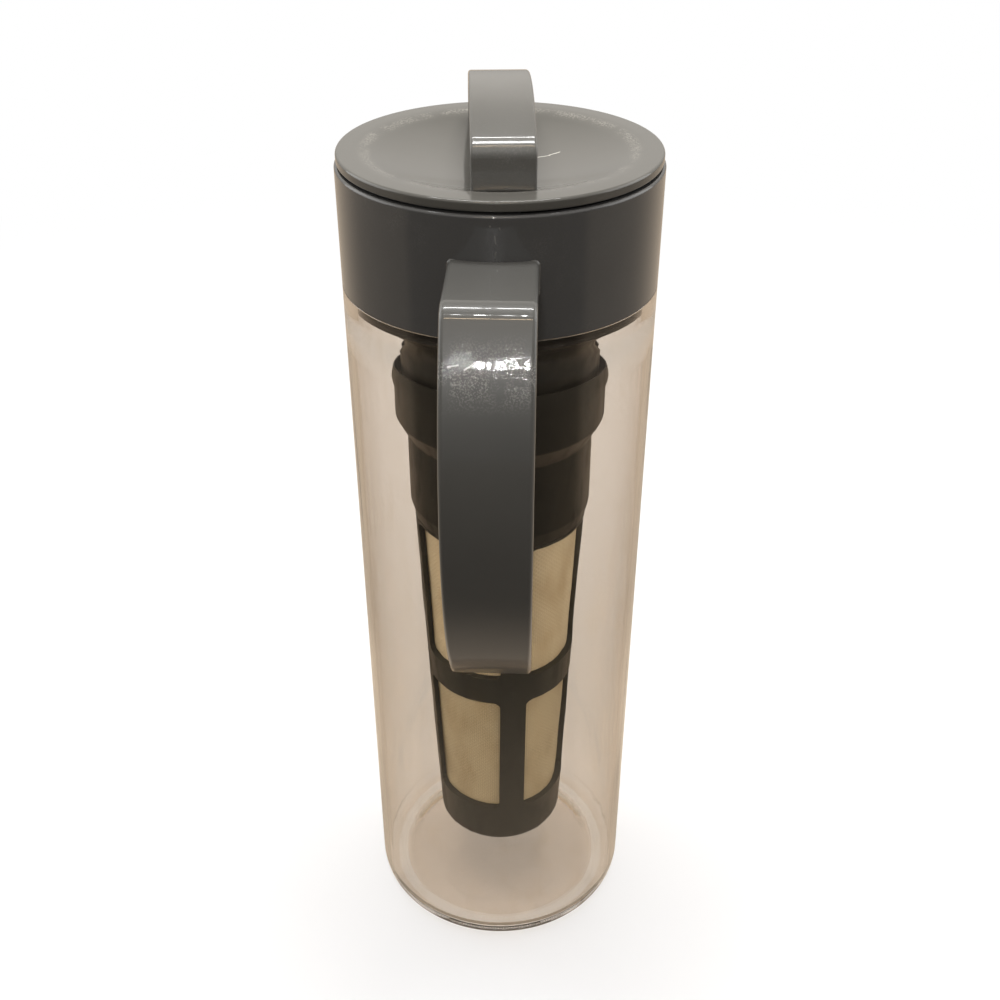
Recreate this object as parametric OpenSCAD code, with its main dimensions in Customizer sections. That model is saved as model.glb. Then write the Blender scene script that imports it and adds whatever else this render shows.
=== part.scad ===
// Iced tea pitcher: a clear jar with a collar and handle, a quarter-turn lid with a carry strap,
// and a mesh infuser that screws on to the lid. Millimetres, +Z up, the jar stands on z = 0 with
// its axis on Z and its handle towards -Y.

/* [Jar] */
// Outside radius of the clear jar
body_r = 50; // [47:0.5:56]
// Wall of the clear jar
body_wall = 2.4; // [1.8:0.1:3]
// Height of the shoulder that carries the collar
shoulder_z = 264; // [250:1:300]
// Height of the neck above the shoulder
neck_h = 27; // [24:0.5:34]
// Wall of the neck
neck_wall = 2.2; // [1.6:0.1:2.6]
// Thickness of the floor
floor_t = 4; // [3:0.5:6]
// Rise of the floor's middle above the foot ring
push_up = 2; // [1:0.25:4]
// Width of the flat foot ring
foot_w = 5.5; // [4:0.5:8]
// Radius of the rounded edge at the base
base_round = 6; // [4:0.5:8]

/* [Collar] */
// Wall of the collar round the neck
collar_wall = 1.9; // [1.6:0.1:2.6]
// Thickness of the ring gasket on top of the neck
gasket_t = 1.2; // [0.8:0.1:2]
// Thickness of the collar's flange above the gasket
flange_t = 1.8; // [1.2:0.1:3]
// Thickness of the bayonet ledge at the collar's top
ledge_t = 3; // [2:0.1:4]
// Width of the pour notch, opposite the handle
notch_w = 24; // [16:1:32]
// Depth of the pour notch below the collar's top
notch_h = 2.6; // [1.5:0.1:4]

/* [Handle] */
// Width of the handle
handle_w = 25.4; // [20:0.2:32]
// Distance from the jar's axis to the handle's outermost point
handle_reach = 98.7; // [94:0.1:106]
// Height of the handle's top face above the shoulder
handle_rise = 24.3; // [20:0.1:26]
// Length of the handle from its top face to its free end
handle_l = 128.8; // [110:0.2:140]
// Radius of the grip's outer bow
bow_r = 102; // [95:1:125]
// Drop from the handle's top face to the bow's outermost point
bow_drop = 60.3; // [54:0.1:66]
// Depth of the grip
grip_t = 9.5; // [8:0.5:12]
// Height of the arm that joins the grip to the collar
arm_t = 11; // [9:0.5:13]
// Wall of the handle's shell
shell_wall = 2.4; // [1.8:0.1:3]
// Outer radius of the bend between arm and grip
elbow_round = 7.4; // [5:0.2:10]

/* [Lid] */
// Thickness of the lid's rim
rim_t = 3.2; // [2.4:0.1:5]
// Step from the collar's side in to the rim's side
rim_inset = 0.6; // [0.2:0.1:1.5]
// Radius of the dish in the lid's top
dish_r = 42; // [40:0.5:44]
// Depth of the dish
dish_depth = 7; // [4:0.5:8]
// Wall of the lid's cap under the dish
cap_wall = 2.4; // [1.8:0.1:3.2]
// Width of the carry strap
strap_w = 18.5; // [14:0.5:24]
// Length of the carry strap over its ends
strap_l = 72; // [60:1:76]
// Thickness of the carry strap
strap_t = 5; // [3.5:0.5:6]
// Height of the strap's end corners above the rim
strap_end_h = 13; // [10:0.5:18]
// Rise of the strap's crown above its end corners
strap_crown = 6.9; // [3:0.1:9]
// Radius of the strap's end corners
strap_round = 3; // [2:0.2:4]
// Turn of the strap from the handle's line, in degrees
strap_turn = 3.9; // [-10:0.1:10]

/* [Lid plug] */
// Wall of the plug
plug_wall = 3.2; // [2.6:0.1:3.8]
// Distance of the seal's middle below the shoulder
seal_drop = 3.8; // [2:0.1:6]
// Thickness of the lip seal
seal_t = 2.4; // [1.8:0.1:3.5]
// Height of the plug's edge below the seal
plug_lip = 2.6; // [2.5:0.1:6]
// Radius of the funnel's concave side
funnel_round = 14; // [13:0.5:28]
// Outside radius of the spigot that the infuser screws on to
spigot_r = 31.3; // [29:0.1:33]
// Wall of the spigot and funnel
spigot_wall = 2.4; // [2:0.1:3]
// Length of the spigot
spigot_l = 23; // [17:0.5:26]
// Thickness of the bayonet lugs
lug_t = 3.2; // [2.4:0.1:4]
// Angle that each bayonet lug covers
lug_angle = 28; // [20:1:32]
// Turn from open to locked, in degrees
lock_turn = 40; // [36:1:44]

/* [Infuser] */
// Rise per turn of the infuser's thread
thread_pitch = 4; // [3.6:0.1:5]
// Height of a thread ridge above its wall
thread_depth = 1.6; // [1.2:0.1:2]
// Wall of the threaded ring
ring_wall = 2; // [1.6:0.1:3]
// Step from the funnel's foot down to the ring's top
ring_drop = 6.2; // [1:0.1:8]
// Thickness of the infuser's flat washer
washer_t = 1.5; // [1:0.1:2.5]
// Outside radius of the sleeve below the ring
sleeve_r = 31.5; // [30.5:0.1:32.5]
// Wall of the sleeve
sleeve_wall = 2.1; // [1.6:0.1:2.6]
// Length of the sleeve below the washer's seat
sleeve_l = 40; // [30:0.5:50]
// Outside radius of the basket at its bottom
basket_foot_r = 24.4; // [22:0.1:27]
// Step from the sleeve's side in to the basket's side
basket_step = 1.2; // [0.8:0.1:2]
// Wall of the basket's frame
frame_wall = 2.2; // [1.8:0.1:3]
// Width of the basket's upright ribs
rib_w = 9.8; // [7:0.2:12]
// Height of the upper row of windows
upper_window_h = 58; // [40:0.5:64]
// Height of the ring between the rows of windows
middle_ring_h = 12; // [8:0.5:16]
// Height of the cup below the lower row of windows
cup_h = 20; // [14:0.5:26]
// Thickness of the cup's floor
cup_floor_t = 2; // [1.5:0.1:3]
// Radius of the cup's rounded bottom edge
cup_round = 4; // [3:0.5:6]
// Radius of the windows' corners
window_round = 2.5; // [1.5:0.5:4]
// Thickness of the mesh
mesh_t = 0.5; // [0.4:0.1:1]
// Room between the jar's floor and the infuser
infuser_floor_gap = 23; // [16:0.5:40]
// Turn of the infuser's ribs from the handle's line, in degrees
infuser_turn_at_rest = 12.7; // [-40:0.1:40]

/* [Hidden] */
$fn = 96;

// Clearances between pieces that are fixed together, turn in each other or pass each other
fit_gap = 0.1;
run_gap = 0.1;
pass_gap = 0.4;
thread_play = 0.5;
overlap = 0.5;
point_step = 0.001;

// Radii from the outside in: collar, neck, plug
collar_bore = body_r - collar_wall;
neck_r = collar_bore - fit_gap;
neck_bore = neck_r - neck_wall;
body_bore = body_r - body_wall;
flange_back = 0.3;
flange_bore = neck_bore + flange_back;
seal_r = neck_bore - run_gap;
plug_gap = 1.8;
plug_r = neck_bore - plug_gap;
plug_bore = plug_r - plug_wall;
groove_depth = 1.4;
gap_r = collar_bore - fit_gap;
lug_r = gap_r - pass_gap;

// Heights of the collar and lid, from the shoulder up
snap_bead_rise = 14;
snap_bead_z = shoulder_z + snap_bead_rise;
snap_bead_h = 1.5;
snap_bead_t = 0.7;
neck_top = shoulder_z + neck_h;
flange_z = neck_top + gasket_t;
lug_play = 0.55;
channel_z = flange_z + flange_t;
channel_h = lug_t + 2 * lug_play;
ledge_z = channel_z + channel_h;
collar_top = ledge_z + ledge_t;
lid_gap = 0.6;
rim_z = collar_top + lid_gap;
rim_top = rim_z + rim_t;
rim_r = body_r - rim_inset;
edge_round = 0.9;

// Heights of the plug and the jar's bore, from the shoulder down
seal_z = shoulder_z - seal_drop - seal_t / 2;
plug_foot = seal_z - run_gap - plug_lip;
bore_below_seal = 2.2;
neck_bore_foot = seal_z - bore_below_seal;
bore_step_h = 7;
funnel_angle = acos(1 - (plug_r - spigot_r) / funnel_round);
spigot_top = plug_foot - funnel_round * sin(funnel_angle);
spigot_foot = spigot_top - spigot_l;
funnel_centre = [spigot_r + funnel_round, spigot_top];
funnel_bore_round = funnel_round + spigot_wall;
bore_angle = acos((funnel_centre[0] - plug_bore) / funnel_bore_round);
weld_drop = 6.1;
weld_z = plug_foot - weld_drop;
weld_angle = asin((weld_z - spigot_top) / funnel_round);
bore_weld_angle = asin((weld_z - spigot_top) / funnel_bore_round);
web_t = 2;

// The dish in the lid is part of a sphere
dish_sphere_r = (dish_r * dish_r + dish_depth * dish_depth) / (2 * dish_depth);
dish_centre_z = rim_top - dish_depth + dish_sphere_r;
cap_dome_r = dish_sphere_r + cap_wall;
locator_h = 2.4;
locator_t = 1.2;
locator_r = plug_bore - fit_gap;

// The lid's bayonet: three lugs that drop through gaps in the ledge and turn under it
lug_count = 3;
lug_step = 360 / lug_count;
lug_side_gap = 3;
gap_angle = lug_angle + 2 * lug_side_gap;
channel_spare = 1;
channel_angle = gap_angle + lock_turn + channel_spare;
pour_angle = 90;

// The strap's crown is an arc through its end corners
strap_half = strap_l / 2;
strap_arc_r = (strap_half * strap_half + strap_crown * strap_crown) / (2 * strap_crown);
strap_corner_z = rim_top + strap_end_h;
strap_arc_z = strap_corner_z + strap_crown - strap_arc_r;
strap_seat = strap_half - strap_t / 2;
tongue_side_step = 3;
tongue_face_step = 1;
tongue_w = strap_w - 2 * tongue_side_step;
tongue_t = strap_t - 2 * tongue_face_step;
strap_inner_round = 2;

// The handle, seen from its side
handle_top = shoulder_z + handle_rise;
handle_foot = handle_top - handle_l;
bow_x = handle_reach - bow_r;
bow_z = handle_top - bow_drop;
end_angle = asin((bow_z - handle_foot - grip_t / 2) / (bow_r - grip_t / 2));
inner_elbow_round = 8;
root_w = 14;
root_h = 6;
root_z = handle_top - arm_t / 2 - root_h / 2;
liner_proud = 0.6;

// The infuser's ring and sleeve
ring_bore = spigot_r + thread_depth + thread_play;
ring_r = ring_bore + ring_wall;
ring_top = spigot_top - ring_drop;
ring_top_round = 4;
ring_land = 0.5;
washer_play = 0.15;
washer_z = spigot_foot - washer_play - washer_t;
seat_z = washer_z - run_gap;
sleeve_bore = sleeve_r - sleeve_wall;
sleeve_foot = seat_z - sleeve_l;
sleeve_edge_round = 1;
ring_foot_h = 8;
thread_turns = 2;
ring_thread_turns = 1.5;
thread_root_w = 2;
thread_crest_w = 1;
thread_sink = 0.3;
thread_steps = 30;
thread_lead = 2.2;
thread_z = spigot_foot + thread_lead;

// The basket hangs in the sleeve and tapers to its foot
basket_r = sleeve_r - basket_step;
basket_foot = floor_t + push_up + infuser_floor_gap;
basket_collar_r = sleeve_bore - fit_gap;
basket_collar_h = 9;
top_band = 1;
upper_top = sleeve_foot - top_band;
upper_foot = upper_top - upper_window_h;
lower_top = upper_foot - middle_ring_h;
lower_foot = basket_foot + cup_h;
rib_count = 4;
rib_step = 360 / rib_count;
mesh_lap = 1.6;

charcoal = "#434342";
near_black = "#24241f";
rubber_black = "#1d1d1d";
clear_plastic = [0.85, 0.82, 0.77, 0.35];
mesh_tan = "#a8956c";

// Points along an arc, from one angle to the other
function arc(centre, r, from, to, steps = 8) =
    [for (i = [0:steps]) let (a = from + (to - from) * i / steps) centre + r * [cos(a), sin(a)]];

// Outline's points without those that repeat the one before
function distinct(points) =
    [for (i = [0:len(points) - 1]) if (i == 0 || norm(points[i] - points[i - 1]) > point_step) points[i]];

// Height of the dish at a distance from the axis
function dish_z(r) = dish_centre_z - sqrt(dish_sphere_r * dish_sphere_r - r * r);

// Outside radius of the basket's frame at a height
function basket_r_at(z) =
    basket_foot_r + (basket_r - basket_foot_r) * (z - basket_foot) / (sleeve_foot - basket_foot);

// Inside radius of the basket's frame at a height
function basket_bore_at(z) = basket_r_at(z) - frame_wall;

// Half of a window's chord at a height, so that the ribs keep one width
function half_chord_at(z) =
    let (r = basket_r_at(z))
    r * sin(rib_step / 2 - asin(rib_w / 2 / r));

// Part of a ring between two radii and two heights, from one angle round to another
module ring_part(inner, outer, z, h, from, angle) {
    rotate([0, 0, from])
        rotate_extrude(angle = angle)
            translate([inner, z])
                square([outer - inner, h]);
}

// Plain ring between two radii
module ring(inner, outer, z, h) {
    rotate_extrude()
        translate([inner, z])
            square([outer - inner, h]);
}

// Shape drawn as distance from the axis and height, given a width across the handle's line
module across(w) {
    rotate([90, 0, -90])
        translate([0, 0, -w / 2])
            linear_extrude(height = w)
                children();
}

// Helical thread ridge: its foot is sunk in the wall at root_r and its crest is at crest_r
module thread_ridge(root_r, crest_r, z, turns, start) {
    count = round(turns * thread_steps);
    points = [for (i = [0:count])
        let (a = start + 360 * i / thread_steps, mid = z + thread_pitch * i / thread_steps)
        for (c = [[root_r, -thread_root_w / 2], [crest_r, -thread_crest_w / 2],
                  [crest_r, thread_crest_w / 2], [root_r, thread_root_w / 2]])
        [c[0] * cos(a), c[0] * sin(a), mid + c[1]]];
    sides = [for (i = [0:count - 1], k = [0:3])
        let (a = 4 * i + k, b = 4 * i + (k + 1) % 4)
        for (t = [[a, b, a + 4], [b, b + 4, a + 4]]) t];
    first = [[0, 2, 1], [0, 3, 2]];
    last = [[0, 1, 2], [0, 2, 3]];
    ends = [for (t = first) t, for (t = last) [for (v = t) v + 4 * count]];
    faces = concat(sides, ends);
    outward = crest_r > root_r;
    polyhedron(points, outward ? faces : [for (f = faces) [f[0], f[2], f[1]]]);
}

// Clear jar: straight wall, domed floor on a foot ring, and a neck with a snap bead
module pitcher_body() {
    inner_round = base_round - body_wall;
    foot_r = body_r - base_round;
    dome_r = foot_r - foot_w - 2 * push_up;
    color(clear_plastic)
        rotate_extrude()
            polygon(concat(
                [[0, push_up], [dome_r, push_up], [foot_r - foot_w, 0]],
                arc([foot_r, base_round], base_round, -90, 0),
                [[body_r, shoulder_z], [neck_r, shoulder_z],
                 [neck_r, snap_bead_z], [neck_r + snap_bead_t, snap_bead_z + snap_bead_h],
                 [neck_r + snap_bead_t, snap_bead_z + 2 * snap_bead_h],
                 [neck_r, snap_bead_z + 3 * snap_bead_h],
                 [neck_r, neck_top], [neck_bore, neck_top],
                 [neck_bore, neck_bore_foot], [body_bore, neck_bore_foot - bore_step_h]],
                arc([body_bore - inner_round, floor_t + inner_round], inner_round, 0, -90),
                [[dome_r, floor_t + push_up], [0, floor_t + push_up]]));
}

// Ring gasket clamped between the neck's top and the collar's flange
module collar_gasket() {
    color(rubber_black)
        ring(flange_bore, neck_r, neck_top, gasket_t);
}

// Collar: snaps over the neck, and holds the bayonet slots and the pour notch
module collar() {
    color(charcoal)
        difference() {
            rotate_extrude()
                polygon(concat(
                    [[collar_bore, shoulder_z], [body_r, shoulder_z]],
                    arc([body_r - edge_round, collar_top - edge_round], edge_round, 0, 90, 3),
                    [[flange_bore, collar_top], [flange_bore, flange_z], [collar_bore, flange_z],
                     [collar_bore, snap_bead_z + 3 * snap_bead_h + fit_gap],
                     [collar_bore + snap_bead_t, snap_bead_z + 2 * snap_bead_h + fit_gap],
                     [collar_bore + snap_bead_t, snap_bead_z + snap_bead_h - fit_gap],
                     [collar_bore, snap_bead_z - fit_gap]]));
            for (i = [0:lug_count - 1]) {
                middle = pour_angle + i * lug_step;
                ring_part(flange_bore - overlap, gap_r, ledge_z - overlap, ledge_t + 2 * overlap,
                          middle - gap_angle / 2, gap_angle);
                ring_part(flange_bore - overlap, collar_bore, channel_z, channel_h,
                          middle - gap_angle / 2 - lock_turn, channel_angle);
            }
            translate([-notch_w / 2, flange_bore, collar_top - notch_h])
                cube([notch_w, body_r, notch_h + overlap]);
            translate([-root_w / 2 - fit_gap, -body_r - overlap, root_z - fit_gap])
                cube([root_w + 2 * fit_gap, collar_wall + 2 * overlap, root_h + 2 * fit_gap]);
        }
}

// Distance from the axis to the centre of the round between the arm and a bow, at a level of the arm
function elbow_x(level, bow, round) =
    bow_x + sqrt(pow(bow - round, 2) - pow(level - round - bow_z, 2));

// Outline of the handle from its side, as distance from the axis and height: wall is how far it lies
// inside the shell's outside, and proud how far it passes the shell's inner side
module handle_side(wall, start_r, proud) {
    bow_centre = [bow_x, bow_z];
    top = handle_top - wall;
    under = handle_top - arm_t - proud;
    outer_bow = bow_r - wall;
    inner_bow = bow_r - grip_t - proud;
    outer_round = elbow_round - wall;
    outer_x = elbow_x(top, outer_bow, outer_round);
    inner_x = elbow_x(under, inner_bow, inner_elbow_round);
    outer_angle = acos((outer_x - bow_x) / (outer_bow - outer_round));
    inner_angle = acos((inner_x - bow_x) / (inner_bow - inner_elbow_round));
    end_centre = bow_centre + (bow_r - grip_t / 2) * [cos(end_angle), -sin(end_angle)];
    polygon(distinct(concat(
        [[start_r, under], [start_r, top]],
        arc([outer_x, top - outer_round], outer_round, 90, outer_angle, 6),
        arc(bow_centre, outer_bow, outer_angle, -end_angle, 20),
        arc(end_centre, grip_t / 2 - wall, -end_angle, -end_angle - 180, 10),
        arc(bow_centre, inner_bow, -end_angle, inner_angle, 20),
        arc([inner_x, under - inner_elbow_round], inner_elbow_round, inner_angle, 90, 6))));
}

// Handle's shell: a channel, open towards the jar, with a root that sits in the collar's slot
module handle_shell() {
    color(charcoal)
        union() {
            difference() {
                across(handle_w)
                    handle_side(0, body_r - overlap, 0);
                across(handle_w - 2 * shell_wall)
                    handle_side(shell_wall, body_r + shell_wall, 2 * overlap);
                translate([0, 0, shoulder_z])
                    cylinder(r = body_r, h = handle_rise + overlap);
            }
            translate([-root_w / 2, -body_r - shell_wall / 2, root_z])
                cube([root_w, collar_wall + shell_wall / 2 - fit_gap - snap_bead_t, root_h]);
        }
}

// Handle's grip: a liner that fills the shell's channel and stands a little proud of it
module handle_grip() {
    color(near_black)
        across(handle_w - 2 * shell_wall - 2 * fit_gap)
            handle_side(shell_wall + fit_gap, body_r + shell_wall + fit_gap, liner_proud);
}

// Lip seal in the plug's groove, which wipes the neck's bore
module lid_seal() {
    lip_t = seal_t / 2;
    color(rubber_black)
        rotate_extrude()
            polygon([[plug_r - groove_depth + run_gap, seal_z], [plug_r, seal_z],
                     [seal_r, seal_z + (seal_t - lip_t) / 2], [seal_r, seal_z + (seal_t + lip_t) / 2],
                     [plug_r, seal_z + seal_t], [plug_r - groove_depth + run_gap, seal_z + seal_t]]);
}

// Ball about the dish's centre, with its poles away from the lid
module dish_ball(r) {
    translate([0, 0, dish_centre_z])
        rotate([90, 0, 0])
            sphere(r = r);
}

// Lid's cap: a rim and a dished top, with a ring under it that centres the plug
module lid_cap() {
    color(charcoal)
        difference() {
            union() {
                rotate_extrude()
                    polygon(concat(
                        [[0, rim_z], [0, rim_top]],
                        arc([rim_r - edge_round, rim_top - edge_round], edge_round, 90, 0, 3),
                        arc([rim_r - edge_round, rim_z + edge_round], edge_round, 0, -90, 3)));
                intersection() {
                    dish_ball(cap_dome_r);
                    translate([0, 0, rim_z - dish_depth - cap_wall])
                        cylinder(r = locator_r - locator_t / 2, h = dish_depth + cap_wall + overlap);
                }
                ring(locator_r - locator_t, locator_r, rim_z - locator_h, locator_h + overlap);
            }
            dish_ball(dish_sphere_r);
            for (side = [-1, 1])
                rotate([0, 0, strap_turn])
                    translate([-tongue_w / 2 - fit_gap, side * strap_seat - tongue_t / 2 - fit_gap,
                               rim_z - dish_depth])
                        cube([tongue_w + 2 * fit_gap, tongue_t + 2 * fit_gap, dish_depth + rim_t]);
        }
}

// Half of the strap's side outline, from its crown to one foot
module strap_side() {
    corner_a = asin((strap_half - strap_round) / (strap_arc_r - strap_round));
    corner_z = strap_arc_z + (strap_arc_r - strap_round) * cos(corner_a);
    under_r = strap_arc_r - strap_t;
    under_half = strap_half - strap_t;
    under_a = asin((under_half - strap_inner_round) / (under_r - strap_inner_round));
    under_z = strap_arc_z + (under_r - strap_inner_round) * cos(under_a);
    foot_z = rim_top - dish_depth;
    polygon(concat(
        arc([0, strap_arc_z], strap_arc_r, 90 + corner_a, 90 - corner_a, 16),
        arc([strap_half - strap_round, corner_z], strap_round, 90 - corner_a, 0, 5),
        [[strap_half, foot_z], [under_half, foot_z]],
        arc([under_half - strap_inner_round, under_z], strap_inner_round, 0, 90 - under_a, 4),
        arc([0, strap_arc_z], under_r, 90 - under_a, 90 + under_a, 16),
        arc([strap_inner_round - under_half, under_z], strap_inner_round, 90 + under_a, 180, 4),
        [[-under_half, foot_z], [-strap_half, foot_z]],
        arc([strap_round - strap_half, corner_z], strap_round, 180, 90 + corner_a, 5)));
}

// Carry strap over the dish: its feet follow the dish and their tongues pass through the cap
module lid_strap() {
    tongue_foot = dish_z(strap_seat) - cap_wall;
    color(charcoal)
        rotate([0, 0, strap_turn])
            union() {
                intersection() {
                    across(strap_w)
                        strap_side();
                    dish_ball(dish_sphere_r);
                }
                for (side = [-1, 1])
                    translate([-tongue_w / 2, side * strap_seat - tongue_t / 2, tongue_foot])
                        cube([tongue_w, tongue_t, cap_wall + strap_t]);
            }
}

// Lid's plug: a hollow wall with the seal's groove, the bayonet lugs and the wide end of the funnel
module lid_plug() {
    groove_foot = seal_z - run_gap;
    groove_top = seal_z + seal_t + run_gap;
    color(near_black)
        union() {
            rotate_extrude()
                polygon(concat(
                    arc(funnel_centre, funnel_round, 180 - weld_angle, 180 - funnel_angle, 8),
                    [[plug_r, groove_foot], [plug_r - groove_depth, groove_foot],
                     [plug_r - groove_depth, groove_top], [plug_r, groove_top],
                     [plug_r, rim_z], [plug_bore, rim_z]],
                    arc(funnel_centre, funnel_bore_round, 180 - bore_angle, 180 - bore_weld_angle, 8)));
            for (i = [0:lug_count - 1])
                ring_part(plug_r - overlap, lug_r, channel_z + lug_play, lug_t,
                          pour_angle + i * lug_step - lug_angle / 2, lug_angle);
        }
}

// Lid's spigot: the narrow end of the funnel, welded to the plug, with a web across it and the outer thread
module lid_spigot() {
    spigot_bore = spigot_r - spigot_wall;
    color(near_black)
        union() {
            rotate_extrude()
                polygon(concat(
                    [[spigot_bore, spigot_foot], [spigot_r, spigot_foot]],
                    arc(funnel_centre, funnel_round, 180, 180 - weld_angle, 7),
                    arc(funnel_centre, funnel_bore_round, 180 - bore_weld_angle, 180, 7),
                    [[0, spigot_top], [0, spigot_top - web_t], [spigot_bore, spigot_top - web_t]]));
            thread_ridge(spigot_r - thread_sink, spigot_r + thread_depth, thread_z, thread_turns, 0);
        }
}

// Flat washer between the spigot's end and the infuser's seat
module infuser_seal() {
    color(rubber_black)
        ring(sleeve_bore, ring_bore - pass_gap, washer_z, washer_t);
}

// Infuser's head: a ring with the inner thread, and the closed sleeve that holds the basket
module infuser_ring() {
    shoulder = ring_top - ring_top_round * sin(acos(1 - (ring_wall - ring_land) / ring_top_round));
    foot_round = ring_r - sleeve_r;
    color(near_black)
        rotate([0, 0, infuser_turn_at_rest])
            union() {
                rotate_extrude()
                    polygon(concat(
                        [[sleeve_bore, sleeve_foot]],
                        arc([sleeve_r - sleeve_edge_round, sleeve_foot + sleeve_edge_round],
                            sleeve_edge_round, -90, 0, 3),
                        [[sleeve_r, seat_z - ring_foot_h]],
                        arc([ring_r - foot_round / 2, seat_z], foot_round / 2, -90, 0, 5),
                        arc([ring_r - ring_top_round, shoulder], ring_top_round, 0,
                            acos(1 - (ring_wall - ring_land) / ring_top_round), 6),
                        [[ring_bore, ring_top], [ring_bore, seat_z], [sleeve_bore, seat_z]]));
                thread_ridge(ring_bore + thread_sink, ring_bore - thread_depth, thread_z + thread_pitch / 2,
                             ring_thread_turns, -infuser_turn_at_rest);
            }
}

// Rounded window cutter, drawn flat and pushed out from the axis
module window(foot, top) {
    r = window_round;
    a = half_chord_at(foot);
    b = half_chord_at(top);
    rotate([90, 0, 90])
        linear_extrude(height = body_r)
            polygon(concat(
                arc([a - r, foot + r], r, -90, 0, 5), arc([b - r, top - r], r, 0, 90, 5),
                arc([r - b, top - r], r, 90, 180, 5), arc([r - a, foot + r], r, 180, 270, 5)));
}

// Turn of a rib, counted from the one nearest the handle
function rib_angle(i) = infuser_turn_at_rest - 90 + rib_step * i;

// Basket's frame: a collar in the sleeve, four ribs, a middle ring and a cup
module infuser_frame() {
    floor_z = basket_foot + cup_floor_t;
    collar_bore_r = basket_bore_at(sleeve_foot);
    color(near_black)
        difference() {
            rotate_extrude()
                polygon(concat(
                    [[0, basket_foot]],
                    arc([basket_foot_r - cup_round, basket_foot + cup_round], cup_round, -90, 0, 6),
                    [[basket_r, sleeve_foot], [basket_collar_r, sleeve_foot],
                     [basket_collar_r, sleeve_foot + basket_collar_h],
                     [collar_bore_r, sleeve_foot + basket_collar_h], [collar_bore_r, sleeve_foot]],
                    [[basket_bore_at(floor_z + cup_round), floor_z + cup_round],
                     [basket_bore_at(floor_z) - cup_round / 2, floor_z], [0, floor_z]]));
            for (i = [0:rib_count - 1])
                rotate([0, 0, rib_angle(i) + rib_step / 2]) {
                    window(upper_foot, upper_top);
                    window(lower_foot, lower_top);
                }
        }
}

// One mesh panel, seated inside the frame over a window
module mesh_panel(i, foot, top) {
    low = foot - mesh_lap;
    high = top + mesh_lap;
    low_r = basket_bore_at(low) - fit_gap;
    high_r = basket_bore_at(high) - fit_gap;
    bore = basket_bore_at(top);
    half = asin(half_chord_at(top) / bore) + atan(mesh_lap / bore);
    color(mesh_tan)
        rotate([0, 0, rib_angle(i) + rib_step / 2 - half])
            rotate_extrude(angle = 2 * half)
                polygon([[low_r - mesh_t, low], [low_r, low], [high_r, high], [high_r - mesh_t, high]]);
}

// Panels are counted round from the rib nearest the handle
module mesh_upper(i) {
    mesh_panel(i - 1, upper_foot, upper_top);
}

module mesh_lower(i) {
    mesh_panel(i - 1, lower_foot, lower_top);
}

pitcher_body();
collar_gasket();
collar();
handle_shell();
handle_grip();
lid_seal();
lid_cap();
lid_strap();
lid_plug();
lid_spigot();
infuser_seal();
infuser_ring();
infuser_frame();
mesh_upper(1);  // mesh_upper_1
mesh_upper(2);  // mesh_upper_2
mesh_upper(3);  // mesh_upper_3
mesh_upper(4);  // mesh_upper_4
mesh_lower(1);  // mesh_lower_1
mesh_lower(2);  // mesh_lower_2
mesh_lower(3);  // mesh_lower_3
mesh_lower(4);  // mesh_lower_4
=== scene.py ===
"""Iced tea pitcher: clear jar, charcoal collar, handle and lid, and a mesh infuser.

Sizes in the classes are in millimetres; Blender's meshes are in metres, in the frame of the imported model.
"""

import logging
import math
from dataclasses import dataclass, field
from enum import Enum

import bpy
from mathutils import Matrix, Vector


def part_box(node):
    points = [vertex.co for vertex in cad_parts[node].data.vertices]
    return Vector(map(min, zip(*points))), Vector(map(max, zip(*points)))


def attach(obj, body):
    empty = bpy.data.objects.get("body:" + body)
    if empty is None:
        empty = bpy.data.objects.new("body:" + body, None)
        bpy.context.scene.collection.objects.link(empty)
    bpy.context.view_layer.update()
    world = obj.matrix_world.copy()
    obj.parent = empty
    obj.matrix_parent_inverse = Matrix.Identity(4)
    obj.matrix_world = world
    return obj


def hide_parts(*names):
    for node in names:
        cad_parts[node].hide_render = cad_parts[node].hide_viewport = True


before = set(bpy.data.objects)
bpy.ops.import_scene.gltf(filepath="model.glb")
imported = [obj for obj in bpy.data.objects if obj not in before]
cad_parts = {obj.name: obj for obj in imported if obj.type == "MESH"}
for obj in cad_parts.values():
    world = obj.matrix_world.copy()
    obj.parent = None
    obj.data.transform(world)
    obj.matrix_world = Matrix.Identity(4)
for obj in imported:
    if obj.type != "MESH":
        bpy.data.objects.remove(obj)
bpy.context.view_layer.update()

MM = 0.001
WELD = 2e-6
FINE_STEPS = 240
RING_STEPS = 160
RING_ROUND = 0.3
LUG_STEPS = 24
SMOOTH_ANGLE = 40.0
Point = tuple[float, float]
Corner = tuple[float, float, float]
Place = tuple[float, float, float]
Tree = bpy.types.NodeTree
Node = bpy.types.Node
Socket = bpy.types.NodeSocket
Source = Socket | Node
log = logging.getLogger("pitcher")


class Body(Enum):
    """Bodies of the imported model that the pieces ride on."""

    PITCHER = "pitcher"
    SEAL_RING = "seal_ring"
    LID = "lid"
    WASHER = "washer"
    INFUSER = "infuser"


class Slot(Enum):
    """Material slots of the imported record."""

    CLEAR = "clear_plastic"
    CHARCOAL = "charcoal_plastic"
    BLACK = "black_plastic"
    SILICONE = "silicone"
    MESH = "filter_mesh"


class Wear(Enum):
    """Where a moulding is scuffed by use; on the handle's bow the scuffs carry painted sheen too."""

    ALL_OVER = "all over"
    LID_RIM = "ring inside the lid's rim"
    BOW_SCUFFS_AND_SHEEN = "upper half of the handle's bow"


# Outlines

def span(node: str) -> tuple[Vector, Vector]:
    """Lowest and highest corner of a CAD node at rest, in millimetres."""
    low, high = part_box(node)
    return Vector(low) / MM, Vector(high) / MM


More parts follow.
